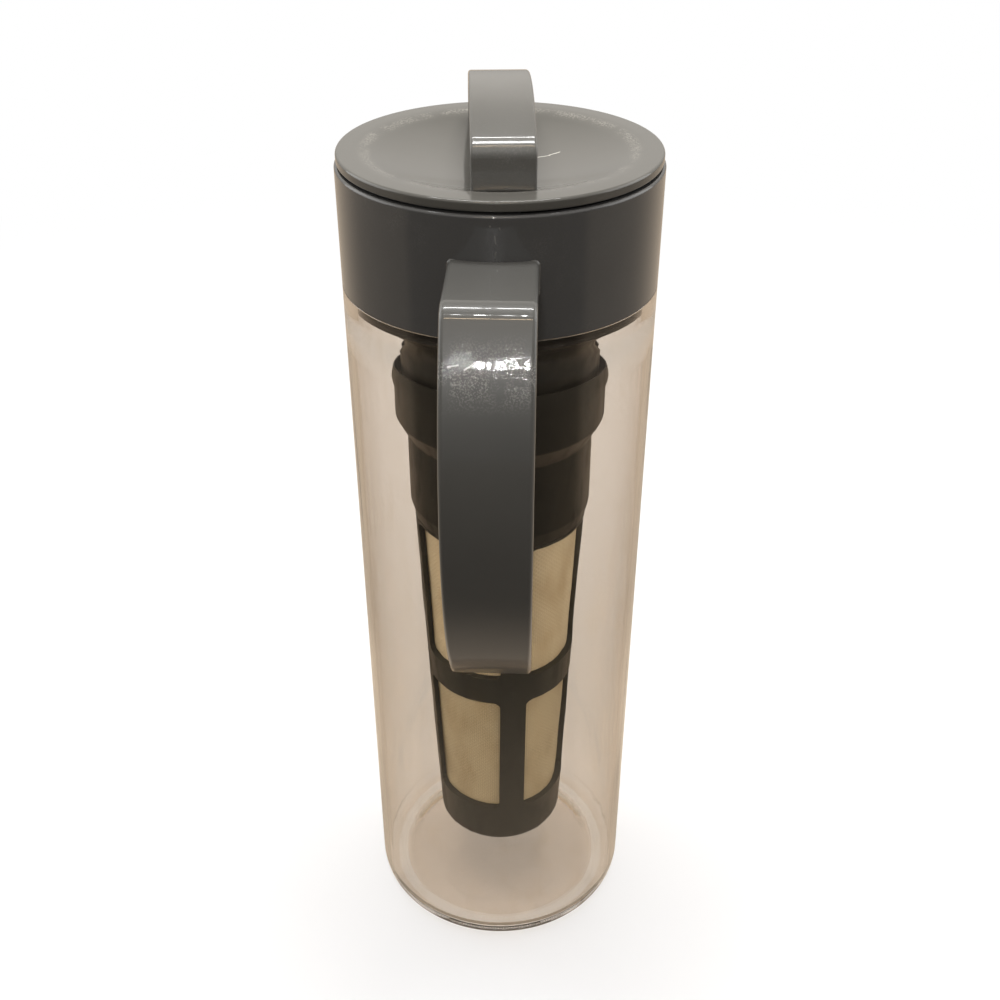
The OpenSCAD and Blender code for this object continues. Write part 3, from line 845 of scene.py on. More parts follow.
# the bow's pale scuffs are partly painted sheen, and its near-white scratches are real scratches drawn as
# painted glints
HANDLE_GLOSS = GlossMoulding(
    "charcoal_glossy_polypropylene_handle", "#4e4e4c", "#555553", "#8b8a87", Wear.BOW_SCUFFS_AND_SHEEN, zone=(273.2, 10.5),
    specular=0.35, seam_rise=12.0, scratch_glint_colour="#d8d8d6", glinting_scratches=(((-10.3, 0.0, 275.0), (-7.0, 0.0, 275.5)),
                                                              ((-6.0, 0.0, 274.2), (-2.6, 0.0, 276.2))))
# the near-white scratches beside the strap are painted glints, partly real scratches
LID_GLOSS = GlossMoulding(
    "charcoal_glossy_polypropylene_lid", "#52514d", "#595854", "#8a8882", Wear.LID_RIM, zone=(40.8, 2.8),
    scratch_glint_colour="#d6d4cd", plane=(1.0, 1.0, 0.0), glinting_scratches=(((10.2, 8.6, 0.0), (15.4, 9.4, 0.0)),
                                                      ((14.6, 9.6, 0.0), (18.4, 11.3, 0.0))))
STRAP_GLOSS = GlossMoulding(
    "charcoal_glossy_polypropylene_strap", "#52514e", "#595855", "#757470", Wear.ALL_OVER)
BLACK_SATIN = SatinMoulding("near_black_satin_polypropylene", "#0e1210", "#141815")
BASKET_SATIN = SatinMoulding("dark_grey_satin_polypropylene", "#272926", "#2f312d")
SILICONE = SoftSilicone("black_silicone", "#1b1b1b", "#2a2a29")
# painted shade: the lower row is the same nylon as the upper one, drawn darker
UPPER_MESH = WovenMesh("tan_woven_nylon_upper", "#e4d5b3", "#c1ac84", 28.0)
LOWER_MESH = WovenMesh("tan_woven_nylon_lower", "#d1c3a1", "#b19f7a", 25.5)


def seat(piece: bpy.types.Object, nodes: list[str], body: Body, finish: Finish) -> None:
    """Dresses a finished piece and hands it to the frame.

    Args:
        piece: Finished piece.
        nodes: CAD nodes that it stands for.
        body: Body that it rides on.
        finish: Finish of the piece, whose material is made once and shared.
    """
    piece.data.materials.clear()
    piece.data.materials.append(bpy.data.materials.get(finish.name) or finish.material())
    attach(piece, body.value)
    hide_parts(*nodes)
    log.info("%s rides on %s: %d faces", piece.name, body.value, len(piece.data.polygons))


def flat_ring(name: str, node: str, bore: float, body: Body) -> None:
    """Turns a flat silicone ring that fills a CAD node's box outside a bore.

    Args:
        name: Name of the new piece.
        node: CAD node that it stands for.
        bore: Inside radius.
        body: Body that it rides on.
    """
    low, high = span(node)
    ring = lathe(name, rounded_box(bore, high.x, low.z, high.z, RING_ROUND), True, RING_STEPS)
    shade(ring)
    seat(ring, [node], body, SILICONE)


# Sub-assemblies

@dataclass
class Jar:
    """Clear jar: straight wall, domed floor on a foot ring, and a neck under the collar."""

    wall: float = 2.4
    neck_inset: float = 2.0
    neck_wall: float = 2.2
    floor: float = 4.0
    push_up: float = 2.0
    dome_r: float = 34.5
    foot_r: float = 38.5
    base_round: float = 6.0
    bead_rise: float = 14.0
    bead_h: float = 1.5
    bead_t: float = 0.7
    bore_drop: float = 7.2
    bore_step: float = 10.0
    dome_round: float = 7.0
    foot_round: float = 1.2
    shoulder_round: float = 0.3
    neck_root_round: float = 0.2
    bead_round: float = 0.3
    lip_round: float = 0.7
    bore_round: float = 14.0
    step_round: float = 40.0
    floor_round: float = 12.0
    turn_steps: int = 256
    smooth_angle: float = 50.0
    radius: float = field(init=False)
    top: float = field(init=False)
    shoulder: float = field(init=False)

    def __post_init__(self) -> None:
        """Takes the main sizes from the frame."""
        high = span("pitcher_body")[1]
        self.radius = round(high.x, 2)
        self.top = round(high.z, 2)
        self.shoulder = round(span("collar")[0].z, 2)

    @property
    def neck_r(self) -> float:
        """Outside radius of the neck."""
        return self.radius - self.neck_inset

    @property
    def neck_bore(self) -> float:
        """Inside radius of the neck."""
        return self.neck_r - self.neck_wall

    def outline(self) -> list[Point]:
        """Profile of the whole jar.

        Returns:
            Points from the axis under the floor, round the outside, to the axis on the floor.
        """
        inner = self.radius - self.wall
        bead = self.shoulder + self.bead_rise
        proud = self.neck_r + self.bead_t
        bore_foot = self.shoulder - self.bore_drop
        floor = self.floor + self.push_up
        return rounded([
            (0, self.push_up, 0), (self.dome_r, self.push_up, self.dome_round),
            (self.foot_r, 0, self.foot_round), (self.radius, 0, self.base_round),
            (self.radius, self.shoulder, self.shoulder_round),
            (self.neck_r, self.shoulder, self.neck_root_round), (self.neck_r, bead, 0),
            (proud, bead + self.bead_h, self.bead_round), (proud, bead + 2 * self.bead_h, self.bead_round),
            (self.neck_r, bead + 3 * self.bead_h, 0), (self.neck_r, self.top, self.lip_round),
            (self.neck_bore, self.top, self.lip_round), (self.neck_bore, bore_foot, self.bore_round),
            (inner, bore_foot - self.bore_step, self.step_round),
            (inner, self.floor, self.base_round - self.wall),
            (self.dome_r, floor, self.floor_round), (0, floor, 0)], False)

    def build(self) -> None:
        """Turns the jar and gives it the clear finish."""
        jar = lathe("clear_jar", self.outline(), False, self.turn_steps)
        shade(jar, self.smooth_angle)
        seat(jar, ["pitcher_body"], Body.PITCHER, CLEAR_JAR)


@dataclass
class Collar:
    """Collar that snaps over the neck: bayonet ledge and channels, pour notch, and its gasket."""

    jar: Jar
    wall: float = 1.9
    flange_inset: float = 3.9
    flange_t: float = 1.8
    channel_h: float = 4.3
    channel_steps: int = 48
    gasket_t: float = 1.2
    edge_round: float = 0.9
    foot_round: float = 0.25
    inner_round: float = 0.5
    root_round: float = 0.2
    # how far a cutter passes the face that it opens
    cut_over: float = 0.5
    play: float = 0.1
    lug_count: int = 3
    gap_angle: float = 34.0
    channel_angle: float = 75.0
    lock_turn: float = 40.0
    pour_angle: float = 90.0
    notch_w: float = 24.0
    notch_h: float = 2.6
    notch_round: float = 1.2
    notch_over: float = 1.0
    notch_reach: float = 10.0
    root_w: float = 14.2
    root_foot: float = 279.7
    root_h: float = 6.2
    slot_reach: float = 2.9
    top: float = field(init=False)

    def __post_init__(self) -> None:
        """Takes the collar's height from the frame."""
        self.top = round(span("collar")[1].z, 2)

    def tools(self) -> list[bpy.types.Object]:
        """Cutters for the ledge's gaps, the lug channels, the pour notch and the handle's slot.

        Returns:
            The cutters.
        """
        over = self.cut_over
        bore = self.jar.radius - self.wall
        flange = self.jar.radius - self.flange_inset
        channel = self.jar.top + self.gasket_t + self.flange_t
        ledge = channel + self.channel_h
        gap = rounded_box(flange - over, bore - self.play, ledge - over, self.top + over)
        channel_box = rounded_box(flange - over, bore, channel, ledge)
        made = []
        for i in range(self.lug_count):
            middle = self.pour_angle + 360 / self.lug_count * i
            made.append(sector(f"gap_{i}", gap, middle, self.gap_angle, LUG_STEPS))
            centre = middle - self.gap_angle / 2 - self.lock_turn + self.channel_angle / 2
            made.append(sector(f"channel_{i}", channel_box, centre, self.channel_angle, self.channel_steps))
        half = self.notch_w / 2
        foot = self.top - self.notch_h
        head = self.top + self.notch_over
        notch = rounded([(-half, head, 0), (-half, foot, self.notch_round), (half, foot, self.notch_round),
                         (half, head, 0)], True)
        points = [Vector((x, flange, z)) * MM for x, z in notch]
        made.append(prism("notch", points, Vector((0, self.notch_reach * MM, 0))))
        side = self.root_w / 2
        slot = rounded_box(-side, side, self.root_foot, self.root_foot + self.root_h)
        points = [Vector((x, -self.jar.radius - over, z)) * MM for x, z in slot]
        made.append(prism("slot", points, Vector((0, self.slot_reach * MM, 0))))
        return made

    def build(self) -> None:
        """Turns the collar, cuts its openings, and adds the gasket on the neck's top."""
        jar = self.jar
        bore = jar.radius - self.wall
        bead = jar.shoulder + jar.bead_rise
        flange_z = jar.top + self.gasket_t
        flange = jar.radius - self.flange_inset
        profile = rounded([
            (bore, jar.shoulder, self.root_round), (jar.radius, jar.shoulder, self.foot_round),
            (jar.radius, self.top, self.edge_round), (flange, self.top, self.inner_round),
            (flange, flange_z, self.root_round), (bore, flange_z, 0),
            (bore, bead + 3 * jar.bead_h + self.play, 0),
            (bore + jar.bead_t, bead + 2 * jar.bead_h + self.play, 0),
            (bore + jar.bead_t, bead + jar.bead_h - self.play, 0), (bore, bead - self.play, 0)], True)
        collar = lathe("neck_collar", profile, True, FINE_STEPS)
        combine(collar, self.tools())
        shade(collar)
        seat(collar, ["collar"], Body.PITCHER, COLLAR_GLOSS)
        flat_ring("neck_gasket", "collar_gasket", jar.neck_bore, Body.PITCHER)


@dataclass
class Handle:
    """Bowed handle, joined at the top only: a channel-shaped shell with a liner on its inner side."""

    jar: Jar
    bow_r: float = 102.0
    bow_drop: float = 60.3
    arm_t: float = 11.0
    grip_t: float = 9.5
    elbow_round: float = 7.4
    inner_round: float = 8.0
    shell_wall: float = 2.4
    liner_play: float = 0.1
    liner_proud: float = 0.6
    edge_round: float = 1.5
    root_round: float = 0.5
    collar_gap: float = 0.045
    root_w: float = 14.0
    root_h: float = 6.0
    root_reach: float = 48.9
    root_edge: float = 0.8
    liner_edge: float = 0.45
    arm_bury: float = 5.0
    cavity_over: float = 1.0
    bore_over: float = 5.0
    width: float = field(init=False)
    reach: float = field(init=False)
    top: float = field(init=False)
    foot: float = field(init=False)

    def __post_init__(self) -> None:
        """Takes the handle's box from the frame."""
        low, high = span("handle_shell")
        self.width = round(high.x - low.x, 2)
        self.reach = round(-low.y, 2)
        self.top = round(high.z, 2)
        self.foot = round(low.z, 2)

    def side(self, wall: float, start: float, proud: float) -> list[Point]:
        """Outline from the side, as distance from the jar's axis and height.

        Args:
            wall: How far the outline lies inside the shell's outside.
            start: Distance from the axis at which the arm starts.
            proud: How far the outline passes the shell's inner side.

        Returns:
            The closed outline's points.
        """
        centre = (self.reach - self.bow_r, self.top - self.bow_drop)
        half = self.grip_t / 2
        end = math.degrees(math.asin((centre[1] - self.foot - half) / (self.bow_r - half)))
        tip = arc(centre, self.bow_r - half, -end, -end, 1)[0]
        level = self.top - wall
        under = self.top - self.arm_t - proud
        outer = self.bow_r - wall
        inner = self.bow_r - self.grip_t - proud
        turn = self.elbow_round - wall
        outer_x = math.sqrt((outer - turn) ** 2 - (level - turn - centre[1]) ** 2)
        inner_x = math.sqrt((inner - self.inner_round) ** 2 - (under - self.inner_round - centre[1]) ** 2)
        outer_a = math.degrees(math.acos(outer_x / (outer - turn)))
        inner_a = math.degrees(math.acos(inner_x / (inner - self.inner_round)))
        elbow = arc((centre[0] + outer_x, level - turn), turn, 90, outer_a, 12)
        bow = arc(centre, outer, outer_a, -end, 44)
        nose = arc(tip, half - wall, -end, -end - 180, 18)
        back = arc(centre, inner, -end, inner_a, 44)
        crook = arc((centre[0] + inner_x, under - self.inner_round), self.inner_round, inner_a, 90, 10)
        return [(start, under), (start, level)] + elbow + bow[1:] + nose + back + crook[1:]

    def block(self, name: str, width: float, outline: list[Point]) -> bpy.types.Object:
        """Pushes a side outline out to a width, centred on the handle."""
        points = [Vector((-width / 2, -r, z)) * MM for r, z in outline]
        return prism(name, points, Vector((width * MM, 0, 0)))

    def flare(self) -> bpy.types.Object:
        """Lofts the hollow fillet where the arm meets the collar.

        Returns:
            A closed flare that follows the collar's round, to join to the shell.
        """
        turn = self.root_round
        # a hair proud of the arm, so that the join has no faces that lie in each other
        proud = 0.02
        curve = [(p, turn - q + proud) for q, p in arc((0, turn), turn, 0, -90, 6)]
        # both ends are flat and buried, in the arm and inside the collar's round
        arm_end = [(2.2, -0.6), (turn + 0.3, -0.1)]
        collar_end = [(-4.0, turn + proud)]
        steps = arm_end + curve + collar_end
        loops = []
        for step, (gap, grow) in enumerate(steps):
            x, low, high = self.width / 2 + grow, self.top - self.arm_t - grow, self.top + grow
            outline = rounded_box(-x, x, low, high, self.edge_round + grow)
            far = self.jar.radius + gap
            flat = step in (0, len(steps) - 1)
            depths = [far if flat else math.sqrt(far ** 2 - a ** 2) for a, _ in outline]
            loops.append([Vector((a, -depth, z)) * MM for (a, z), depth in zip(outline, depths)])
        drawn = []
        for i, loop in enumerate(loops):
            drawn.append(draw_line(f"flare_{i}", loop, True))
            bpy.ops.object.mode_set(mode="OBJECT")
        pick(drawn[0])
        for line in drawn[1:]:
            line.select_set(True)
        bpy.ops.object.join()
        bpy.ops.object.mode_set(mode="EDIT")
        bpy.ops.mesh.select_all(action="SELECT")
        bpy.ops.mesh.bridge_edge_loops()
        bpy.ops.mesh.select_all(action="SELECT")
        bpy.ops.mesh.fill_holes(sides=0)
        close_mesh()
        return drawn[0]

    def build(self) -> None:
        """Builds the shell, its root and its liner."""
        jar_r = self.jar.radius
        shell = self.block("handle_shell_moulding", self.width, self.side(0, jar_r - self.arm_bury, 0))
        soften(shell, self.edge_round, 5)
        combine(shell, [self.flare()], "UNION")
        inside = self.width - 2 * self.shell_wall
        hollow = self.side(self.shell_wall, jar_r + self.shell_wall, self.cavity_over)
        cavity = self.block("cavity", inside, hollow)
        bore = rounded_box(0, jar_r + self.collar_gap, self.foot, self.top + self.bore_over)
        combine(shell, [lathe("bore", bore, False, FINE_STEPS), cavity])
        foot = self.top - self.arm_t / 2 - self.root_h / 2
        half = self.root_w / 2
        root = rounded_box(-half, half, foot, foot + self.root_h, self.root_edge)
        depth = jar_r + self.shell_wall / 2 - self.root_reach
        points = [Vector((x, -jar_r - self.shell_wall / 2, z)) * MM for x, z in root]
        combine(shell, [prism("root", points, Vector((0, depth * MM, 0)))], "UNION")
        shade(shell)
        seat(shell, ["handle_shell"], Body.PITCHER, HANDLE_GLOSS)
        wall = self.shell_wall + self.liner_play
        outline = self.side(wall, jar_r + wall, self.liner_proud)
        liner = self.block("handle_liner", inside - 2 * self.liner_play, outline)
        soften(liner, self.liner_edge, 3)
        shade(liner)
        seat(liner, ["handle_grip"], Body.PITCHER, BLACK_SATIN)


@dataclass
class Lid:
    """Lid: dished cap with a carry strap, a plug with bayonet lugs and seal, and a threaded spigot."""

    jar: Jar
    dish_r: float = 42.0
    dish_depth: float = 7.0
    dish_blend: float = 18.0
    blend_run: float = 5.0
    cap_wall: float = 2.4
    rim_round: float = 0.9
    rim_root_round: float = 0.2
    locator_r: float = 40.7
    locator_t: float = 1.2
    locator_h: float = 2.4
    locator_round: float = 0.3
    strap_w: float = 18.5
    strap_l: float = 72.0
    strap_t: float = 5.0
    strap_end_h: float = 10.8
    strap_crown: float = 9.1
    strap_round: float = 6.3
    under_crown: float = 6.9
    strap_inner_round: float = 2.0
    strap_edge: float = 0.9
    strap_sink: float = 0.7
    strap_turn: float = 3.9
    plug_r: float = 44.0
    plug_wall: float = 3.2
    groove_depth: float = 1.4
    groove_play: float = 0.1
    lip_round: float = 1.0
    lip_edge: float = 1.5
    groove_edge: float = 0.2
    groove_top_edge: float = 0.4
    seal_lip: float = 0.6
    seal_lip_edge: float = 0.5
    seal_edge: float = 0.4
    lug_r: float = 47.6
    lug_foot: float = 294.55
    lug_t: float = 3.2
    lug_angle: float = 28.0
    lug_count: int = 3
    lug_bury: float = 0.6
    lug_edge: float = 0.6
    pour_angle: float = 90.0
    funnel_round: float = 14.0
    spigot_r: float = 31.3
    spigot_wall: float = 2.4
    spigot_l: float = 23.0
    spigot_edge: float = 0.6
    bore_edge: float = 0.4
    web_t: float = 2.0
    web_round: float = 0.8
    thread_depth: float = 1.6
    thread_bury: float = 0.3
    thread_pitch: float = 4.0
    thread_turns: float = 2.0
    thread_lead: float = 2.2
    rim_r: float = field(init=False)
    rim_z: float = field(init=False)
    rim_top: float = field(init=False)
    weld_z: float = field(init=False)
    spigot_foot: float = field(init=False)

    def __post_init__(self) -> None:
        """Takes the rim, weld and spigot heights from the frame."""
        self.rim_r = round(span("lid_cap")[1].x, 1)
        self.rim_top = round(span("lid_cap")[1].z, 2)
        self.rim_z = round(span("lid_plug")[1].z, 2)
        self.weld_z = round(span("lid_plug")[0].z, 2)
        self.spigot_foot = round(span("lid_spigot")[0].z, 3)

    @property
    def dish_ball(self) -> float:
        """Radius of the dish's curve."""
        return (self.dish_r ** 2 + self.dish_depth ** 2) / (2 * self.dish_depth)

    @property
    def dish_centre(self) -> float:
        """Height of the centre of the dish's curve."""
        return self.rim_top - self.dish_depth + self.dish_ball

    def dish_z(self, r: float) -> float:
        """Height of the dish at a distance from the axis."""
        return self.dish_centre - math.sqrt(self.dish_ball ** 2 - r ** 2)

    def build_cap(self) -> None:
        """Turns the cap, with its dish blended softly into the rim."""
        centre = (0.0, self.dish_centre)
        dish = math.degrees(math.asin((self.dish_r - self.blend_run) / self.dish_ball))
        top = [(r, z, 0.0) for r, z in arc(centre, self.dish_ball, -90, -90 + dish, 16)]
        dome = self.dish_ball + self.cap_wall
        inner = self.locator_r - self.locator_t
        under = math.degrees(math.asin(inner / dome))
        foot = self.rim_z - self.locator_h
        lower = [(r, z, 0.0) for r, z in arc(centre, dome, -90 + under, -90, 10)]
        profile = rounded(
            top + [(self.dish_r, self.rim_top, self.dish_blend), (self.rim_r, self.rim_top, self.rim_round),
                   (self.rim_r, self.rim_z, self.rim_round),
                   (self.locator_r, self.rim_z, self.rim_root_round),
                   (self.locator_r, foot, self.locator_round),
                   (inner, foot, self.locator_round)] + lower, False)
        cap = lathe("lid_cap_moulding", profile, False, FINE_STEPS)
        shade(cap)
        seat(cap, ["lid_cap"], Body.LID, LID_GLOSS)

    def strap_side(self) -> list[Point]:
        """Outline of the strap from its side: an arched bar on two feet.

        Returns:
            The closed outline's points, as distance along the strap and height.
        """
        half = self.strap_l / 2
        bow = (half ** 2 + self.strap_crown ** 2) / (2 * self.strap_crown)
        middle = self.rim_top + self.strap_end_h + self.strap_crown - bow
        turn = self.strap_round
        corner = math.degrees(math.asin((half - turn) / (bow - turn)))
        corner_z = middle + (bow - turn) * math.cos(math.radians(corner))
        inner = half - self.strap_t
        flat = (half ** 2 + self.under_crown ** 2) / (2 * self.under_crown)
        under = flat - self.strap_t
        centre = middle + bow - flat
        bend = self.strap_inner_round
        crook = math.degrees(math.asin((inner - bend) / (under - bend)))
        crook_z = centre + (under - bend) * math.cos(math.radians(crook))
        foot = self.rim_top - self.dish_depth
        return (arc((0, middle), bow, 90 + corner, 90 - corner, 32)
                + arc((half - turn, corner_z), turn, 90 - corner, 0, 9)[1:]
                + [(half, foot), (inner, foot)]
                + arc((inner - bend, crook_z), bend, 0, 90 - crook, 7)
                + arc((0, centre), under, 90 - crook, 90 + crook, 32)[1:]
                + arc((bend - inner, crook_z), bend, 90 + crook, 180, 7)[1:]
                + [(-inner, foot), (-half, foot)]
                + arc((turn - half, corner_z), turn, 180, 90 + corner, 9)[:-1])

    def build_strap(self) -> bpy.types.Object:
        """Pushes the strap out across the lid and sets its feet in the dish.

        Returns:
            The strap.
        """
        turn = Matrix.Rotation(math.radians(self.strap_turn), 3, "Z")
        points = [turn @ Vector((-self.strap_w / 2, y, z)) * MM for y, z in self.strap_side()]
        strap = prism("lid_strap_moulding", points, turn @ Vector((self.strap_w * MM, 0, 0)))
        # only the ends of the feet lie below the dish's lowest place, give or take a tenth
        foot_end = (self.rim_top - self.dish_depth + 0.1) * MM
        for vertex in strap.data.vertices:
            if vertex.co.z < foot_end:
                level = self.dish_z(math.hypot(vertex.co.x, vertex.co.y) / MM) - self.strap_sink
                vertex.co.z = level * MM
        soften(strap, self.strap_edge, 4)
        shade(strap)
        seat(strap, ["lid_strap"], Body.LID, STRAP_GLOSS)
        return strap

    def funnel(self, offset: float, low: float, high: float, steps: int) -> list[Point]:
        """Curve of the funnel between two heights.

        Args:
            offset: Distance inwards from the funnel's outside.
            low: Height of the first point.
            high: Height of the last point.
            steps: Number of straight steps.

        Returns:
            The curve's points, from the lower to the upper.
        """
        top = self.spigot_foot + self.spigot_l
        radius = self.funnel_round + offset
        ends = [180 - math.degrees(math.asin((z - top) / radius)) for z in (low, high)]
        return arc((self.spigot_r + self.funnel_round, top), radius, ends[0], ends[1], steps)

    def build_plug(self) -> None:
        """Turns the plug, with its groove and the funnel's wide end, and joins the lugs to it."""
        seal_low, seal_high = span("lid_seal")
        groove_foot = seal_low.z - self.groove_play
        groove_top = seal_high.z + self.groove_play
        top = self.spigot_foot + self.spigot_l
        fall = math.acos(1 - (self.plug_r - self.spigot_r) / self.funnel_round)
        foot = top + self.funnel_round * math.sin(fall)
        groove = self.plug_r - self.groove_depth
        bore = self.plug_r - self.plug_wall
        reach = self.spigot_r + self.funnel_round - bore
        lip = top + math.sqrt((self.funnel_round + self.spigot_wall) ** 2 - reach ** 2)
        outer = self.funnel(0.0, self.weld_z, foot - self.lip_round, 16)
        inner = self.funnel(self.spigot_wall, self.weld_z, lip, 16)[::-1]
        wall = rounded([
            (*outer[-1], 0), (self.plug_r - self.lip_round, groove_foot - self.lip_round, self.lip_edge),
            (self.plug_r, groove_foot, self.groove_edge), (groove, groove_foot, self.groove_edge),
            (groove, groove_top, self.groove_edge), (self.plug_r, groove_top, self.groove_top_edge),
            (self.plug_r, self.rim_z, 0), (bore, self.rim_z, 0)], False)
        plug = lathe("lid_plug_moulding", outer[:-1] + wall + inner, True)
        root = self.plug_r - self.lug_bury
        lug_top = self.lug_foot + self.lug_t
        lug = rounded([(root, self.lug_foot, 0), (self.lug_r, self.lug_foot, self.lug_edge),
                       (self.lug_r, lug_top, self.lug_edge), (root, lug_top, 0)], True)
        turns = [self.pour_angle + 360 / self.lug_count * i for i in range(self.lug_count)]
        lugs = [sector(f"lug_{i}", lug, a, self.lug_angle, LUG_STEPS) for i, a in enumerate(turns)]
        combine(plug, lugs, "UNION")
        shade(plug)
        seat(plug, ["lid_plug"], Body.LID, BLACK_SATIN)

    def build_spigot(self) -> None:
        """Turns the spigot with the funnel's narrow end and its web, and joins the thread to it."""
        top = self.spigot_foot + self.spigot_l
        bore = self.spigot_r - self.spigot_wall
        outer = self.funnel(0.0, top, self.weld_z, 14)
        inner = self.funnel(self.spigot_wall, top, self.weld_z, 14)[::-1]
        web = top - self.web_t
        foot = rounded([(0, web, 0), (bore, web, self.web_round), (bore, self.spigot_foot, self.bore_edge),
                        (self.spigot_r, self.spigot_foot, self.spigot_edge), (*outer[0], 0)], False)
        spigot = lathe("lid_spigot_moulding", foot + outer[1:] + inner + [(0.0, top)], False)
        start = self.spigot_foot + self.thread_lead
        section = thread_section(self.spigot_r - self.thread_bury, self.spigot_r + self.thread_depth, start)
        combine(spigot, [ridge("spigot_thread", section, self.thread_turns, self.thread_pitch)], "UNION")
        shade(spigot)
        seat(spigot, ["lid_spigot"], Body.LID, BLACK_SATIN)

    def build_seal(self) -> None:
        """Turns the lip seal in the plug's groove."""
        low, high = span("lid_seal")
        inner = self.plug_r - self.groove_depth + self.groove_play
        middle = (low.z + high.z) / 2
        profile = rounded([
            (inner, low.z, RING_ROUND), (self.plug_r, low.z, self.seal_edge),
            (high.x, middle - self.seal_lip, self.seal_lip_edge),
            (high.x, middle + self.seal_lip, self.seal_lip_edge),
            (self.plug_r, high.z, self.seal_edge), (inner, high.z, RING_ROUND)], True)
        seal = lathe("plug_lip_seal", profile, True)
        shade(seal)
        seat(seal, ["lid_seal"], Body.SEAL_RING, SILICONE)

    def build(self) -> bpy.types.Object:
        """Builds the lid from its cap down.

        Returns:
            Its strap.
        """
        self.build_cap()
        strap = self.build_strap()
        self.build_plug()
        self.build_spigot()
        self.build_seal()
        return strap


@dataclass
class Infuser:
    """Infuser: threaded head ring with a sleeve, a ribbed basket, eight mesh panels and a washer."""

    lid: Lid
    sleeve_r: float = 31.5
    sleeve_wall: float = 2.1
    sleeve_taper: float = 1.3
    sleeve_taper_h: float = 5.5
    ring_r: float = 35.4
    ring_wall: float = 2.0
    ring_chamfer_h: float = 7.6
    ring_top_in: float = 1.75
    ring_top_h: float = 6.5
    ring_lip: float = 2.0
    ring_edge_drop: float = 0.4
    ring_edge_round: float = 2.2
    ring_side_round: float = 20.0
    ring_top_round: float = 0.5
    ring_bore_round: float = 0.15
    seat_round: float = 0.3
    sleeve_bore_round: float = 0.2
    sleeve_foot_round: float = 0.5
    sleeve_side_round: float = 4.0
    sleeve_top_round: float = 2.0
    basket_step: float = 1.2
    foot_r: float = 24.4
    frame_wall: float = 2.2
    collar_h: float = 9.0
    fit: float = 0.1
    cup_floor: float = 2.0
    cup_round: float = 4.0
    cup_inner_round: float = 2.8
    step_round: float = 0.2
    collar_foot_round: float = 0.1
    collar_top_round: float = 0.4
    basket_edge: float = 0.4
    basket_steps: int = 180
    basket_smooth: float = 45.0
    rib_w: float = 9.8
    rib_count: int = 4
    rib_turn: float = 12.7
    window_round: float = 2.5
    # a window's cutter starts between the axis and the basket, and ends outside it
    window_start: float = 15.0
    window_reach: float = 30.0
    mesh_lap: float = 1.6
    mesh_t: float = 0.5
    mesh_steps: int = 40
    ring_turns: float = 1.5
    ring_top: float = field(init=False)
    seat_z: float = field(init=False)
    sleeve_foot: float = field(init=False)
    foot: float = field(init=False)

    def __post_init__(self) -> None:
        """Takes the heights from the frame."""
        self.ring_top = round(span("infuser_ring")[1].z, 3) + self.ring_lip
        self.sleeve_foot = round(span("infuser_ring")[0].z, 3)
        self.seat_z = round(span("infuser_seal")[0].z, 3) - self.fit
        self.foot = round(span("infuser_frame")[0].z, 2)

    @property
    def basket_r(self) -> float:
        """Outside radius of the basket under the sleeve."""
        return self.sleeve_r - self.basket_step

    def outside(self, z: float) -> float:
        """Outside radius of the basket at a height."""
        return self.foot_r + (self.basket_r - self.foot_r) * (z - self.foot) / (self.sleeve_foot - self.foot)

    def half_chord(self, z: float) -> float:
        """Half of a window's width at a height, so that the ribs keep one width."""
        r = self.outside(z)
        return r * math.sin(math.pi / self.rib_count - math.asin(self.rib_w / 2 / r))

    def build_ring(self) -> None:
        """Turns the head ring and sleeve, and joins the inner thread to it."""
        bore = self.ring_r - self.ring_wall
        sleeve_bore = self.sleeve_r - self.sleeve_wall
        taper_r = self.sleeve_r - self.sleeve_taper
        profile = rounded([
            (sleeve_bore, self.sleeve_foot, self.sleeve_bore_round),
            (taper_r, self.sleeve_foot, self.sleeve_foot_round),
            (self.sleeve_r, self.sleeve_foot + self.sleeve_taper_h, self.sleeve_side_round),
            (self.sleeve_r, self.seat_z - self.ring_chamfer_h, self.sleeve_top_round),
            (self.ring_r, self.seat_z - self.ring_edge_drop, self.ring_edge_round),
            (self.ring_r, self.ring_top - self.ring_top_h, self.ring_side_round),
            (self.ring_r - self.ring_top_in, self.ring_top, self.ring_top_round),
            (bore, self.ring_top, self.ring_bore_round),
            (bore, self.seat_z, 0), (sleeve_bore, self.seat_z, self.seat_round)], True)
        ring = lathe("infuser_head", profile, True)
        lid = self.lid
        start = lid.spigot_foot + lid.thread_lead + lid.thread_pitch / 2
        section = thread_section(bore + lid.thread_bury, bore - lid.thread_depth, start)
        combine(ring, [ridge("ring_thread", section, self.ring_turns, lid.thread_pitch)], "UNION")
        shade(ring)
        seat(ring, ["infuser_ring"], Body.INFUSER, BLACK_SATIN)

    def window(self, name: str, low: float, high: float, turn: float) -> bpy.types.Object:
        """Cutter for one window: a rounded outline pushed out from the axis.

        Args:
            name: Name of the cutter.
            low: Height of the window's foot.
            high: Height of its top.
            turn: Turn of its middle in degrees.

        Returns:
            The cutter.
        """
        a = self.half_chord(low)
        b = self.half_chord(high)
        shape = rounded([(-a, low, self.window_round), (a, low, self.window_round),
                         (b, high, self.window_round), (-b, high, self.window_round)], True)
        spun = Matrix.Rotation(math.radians(turn), 3, "Z")
        points = [spun @ Vector((self.window_start, y, z)) * MM for y, z in shape]
        return prism(name, points, spun @ Vector((self.window_reach * MM, 0, 0)))

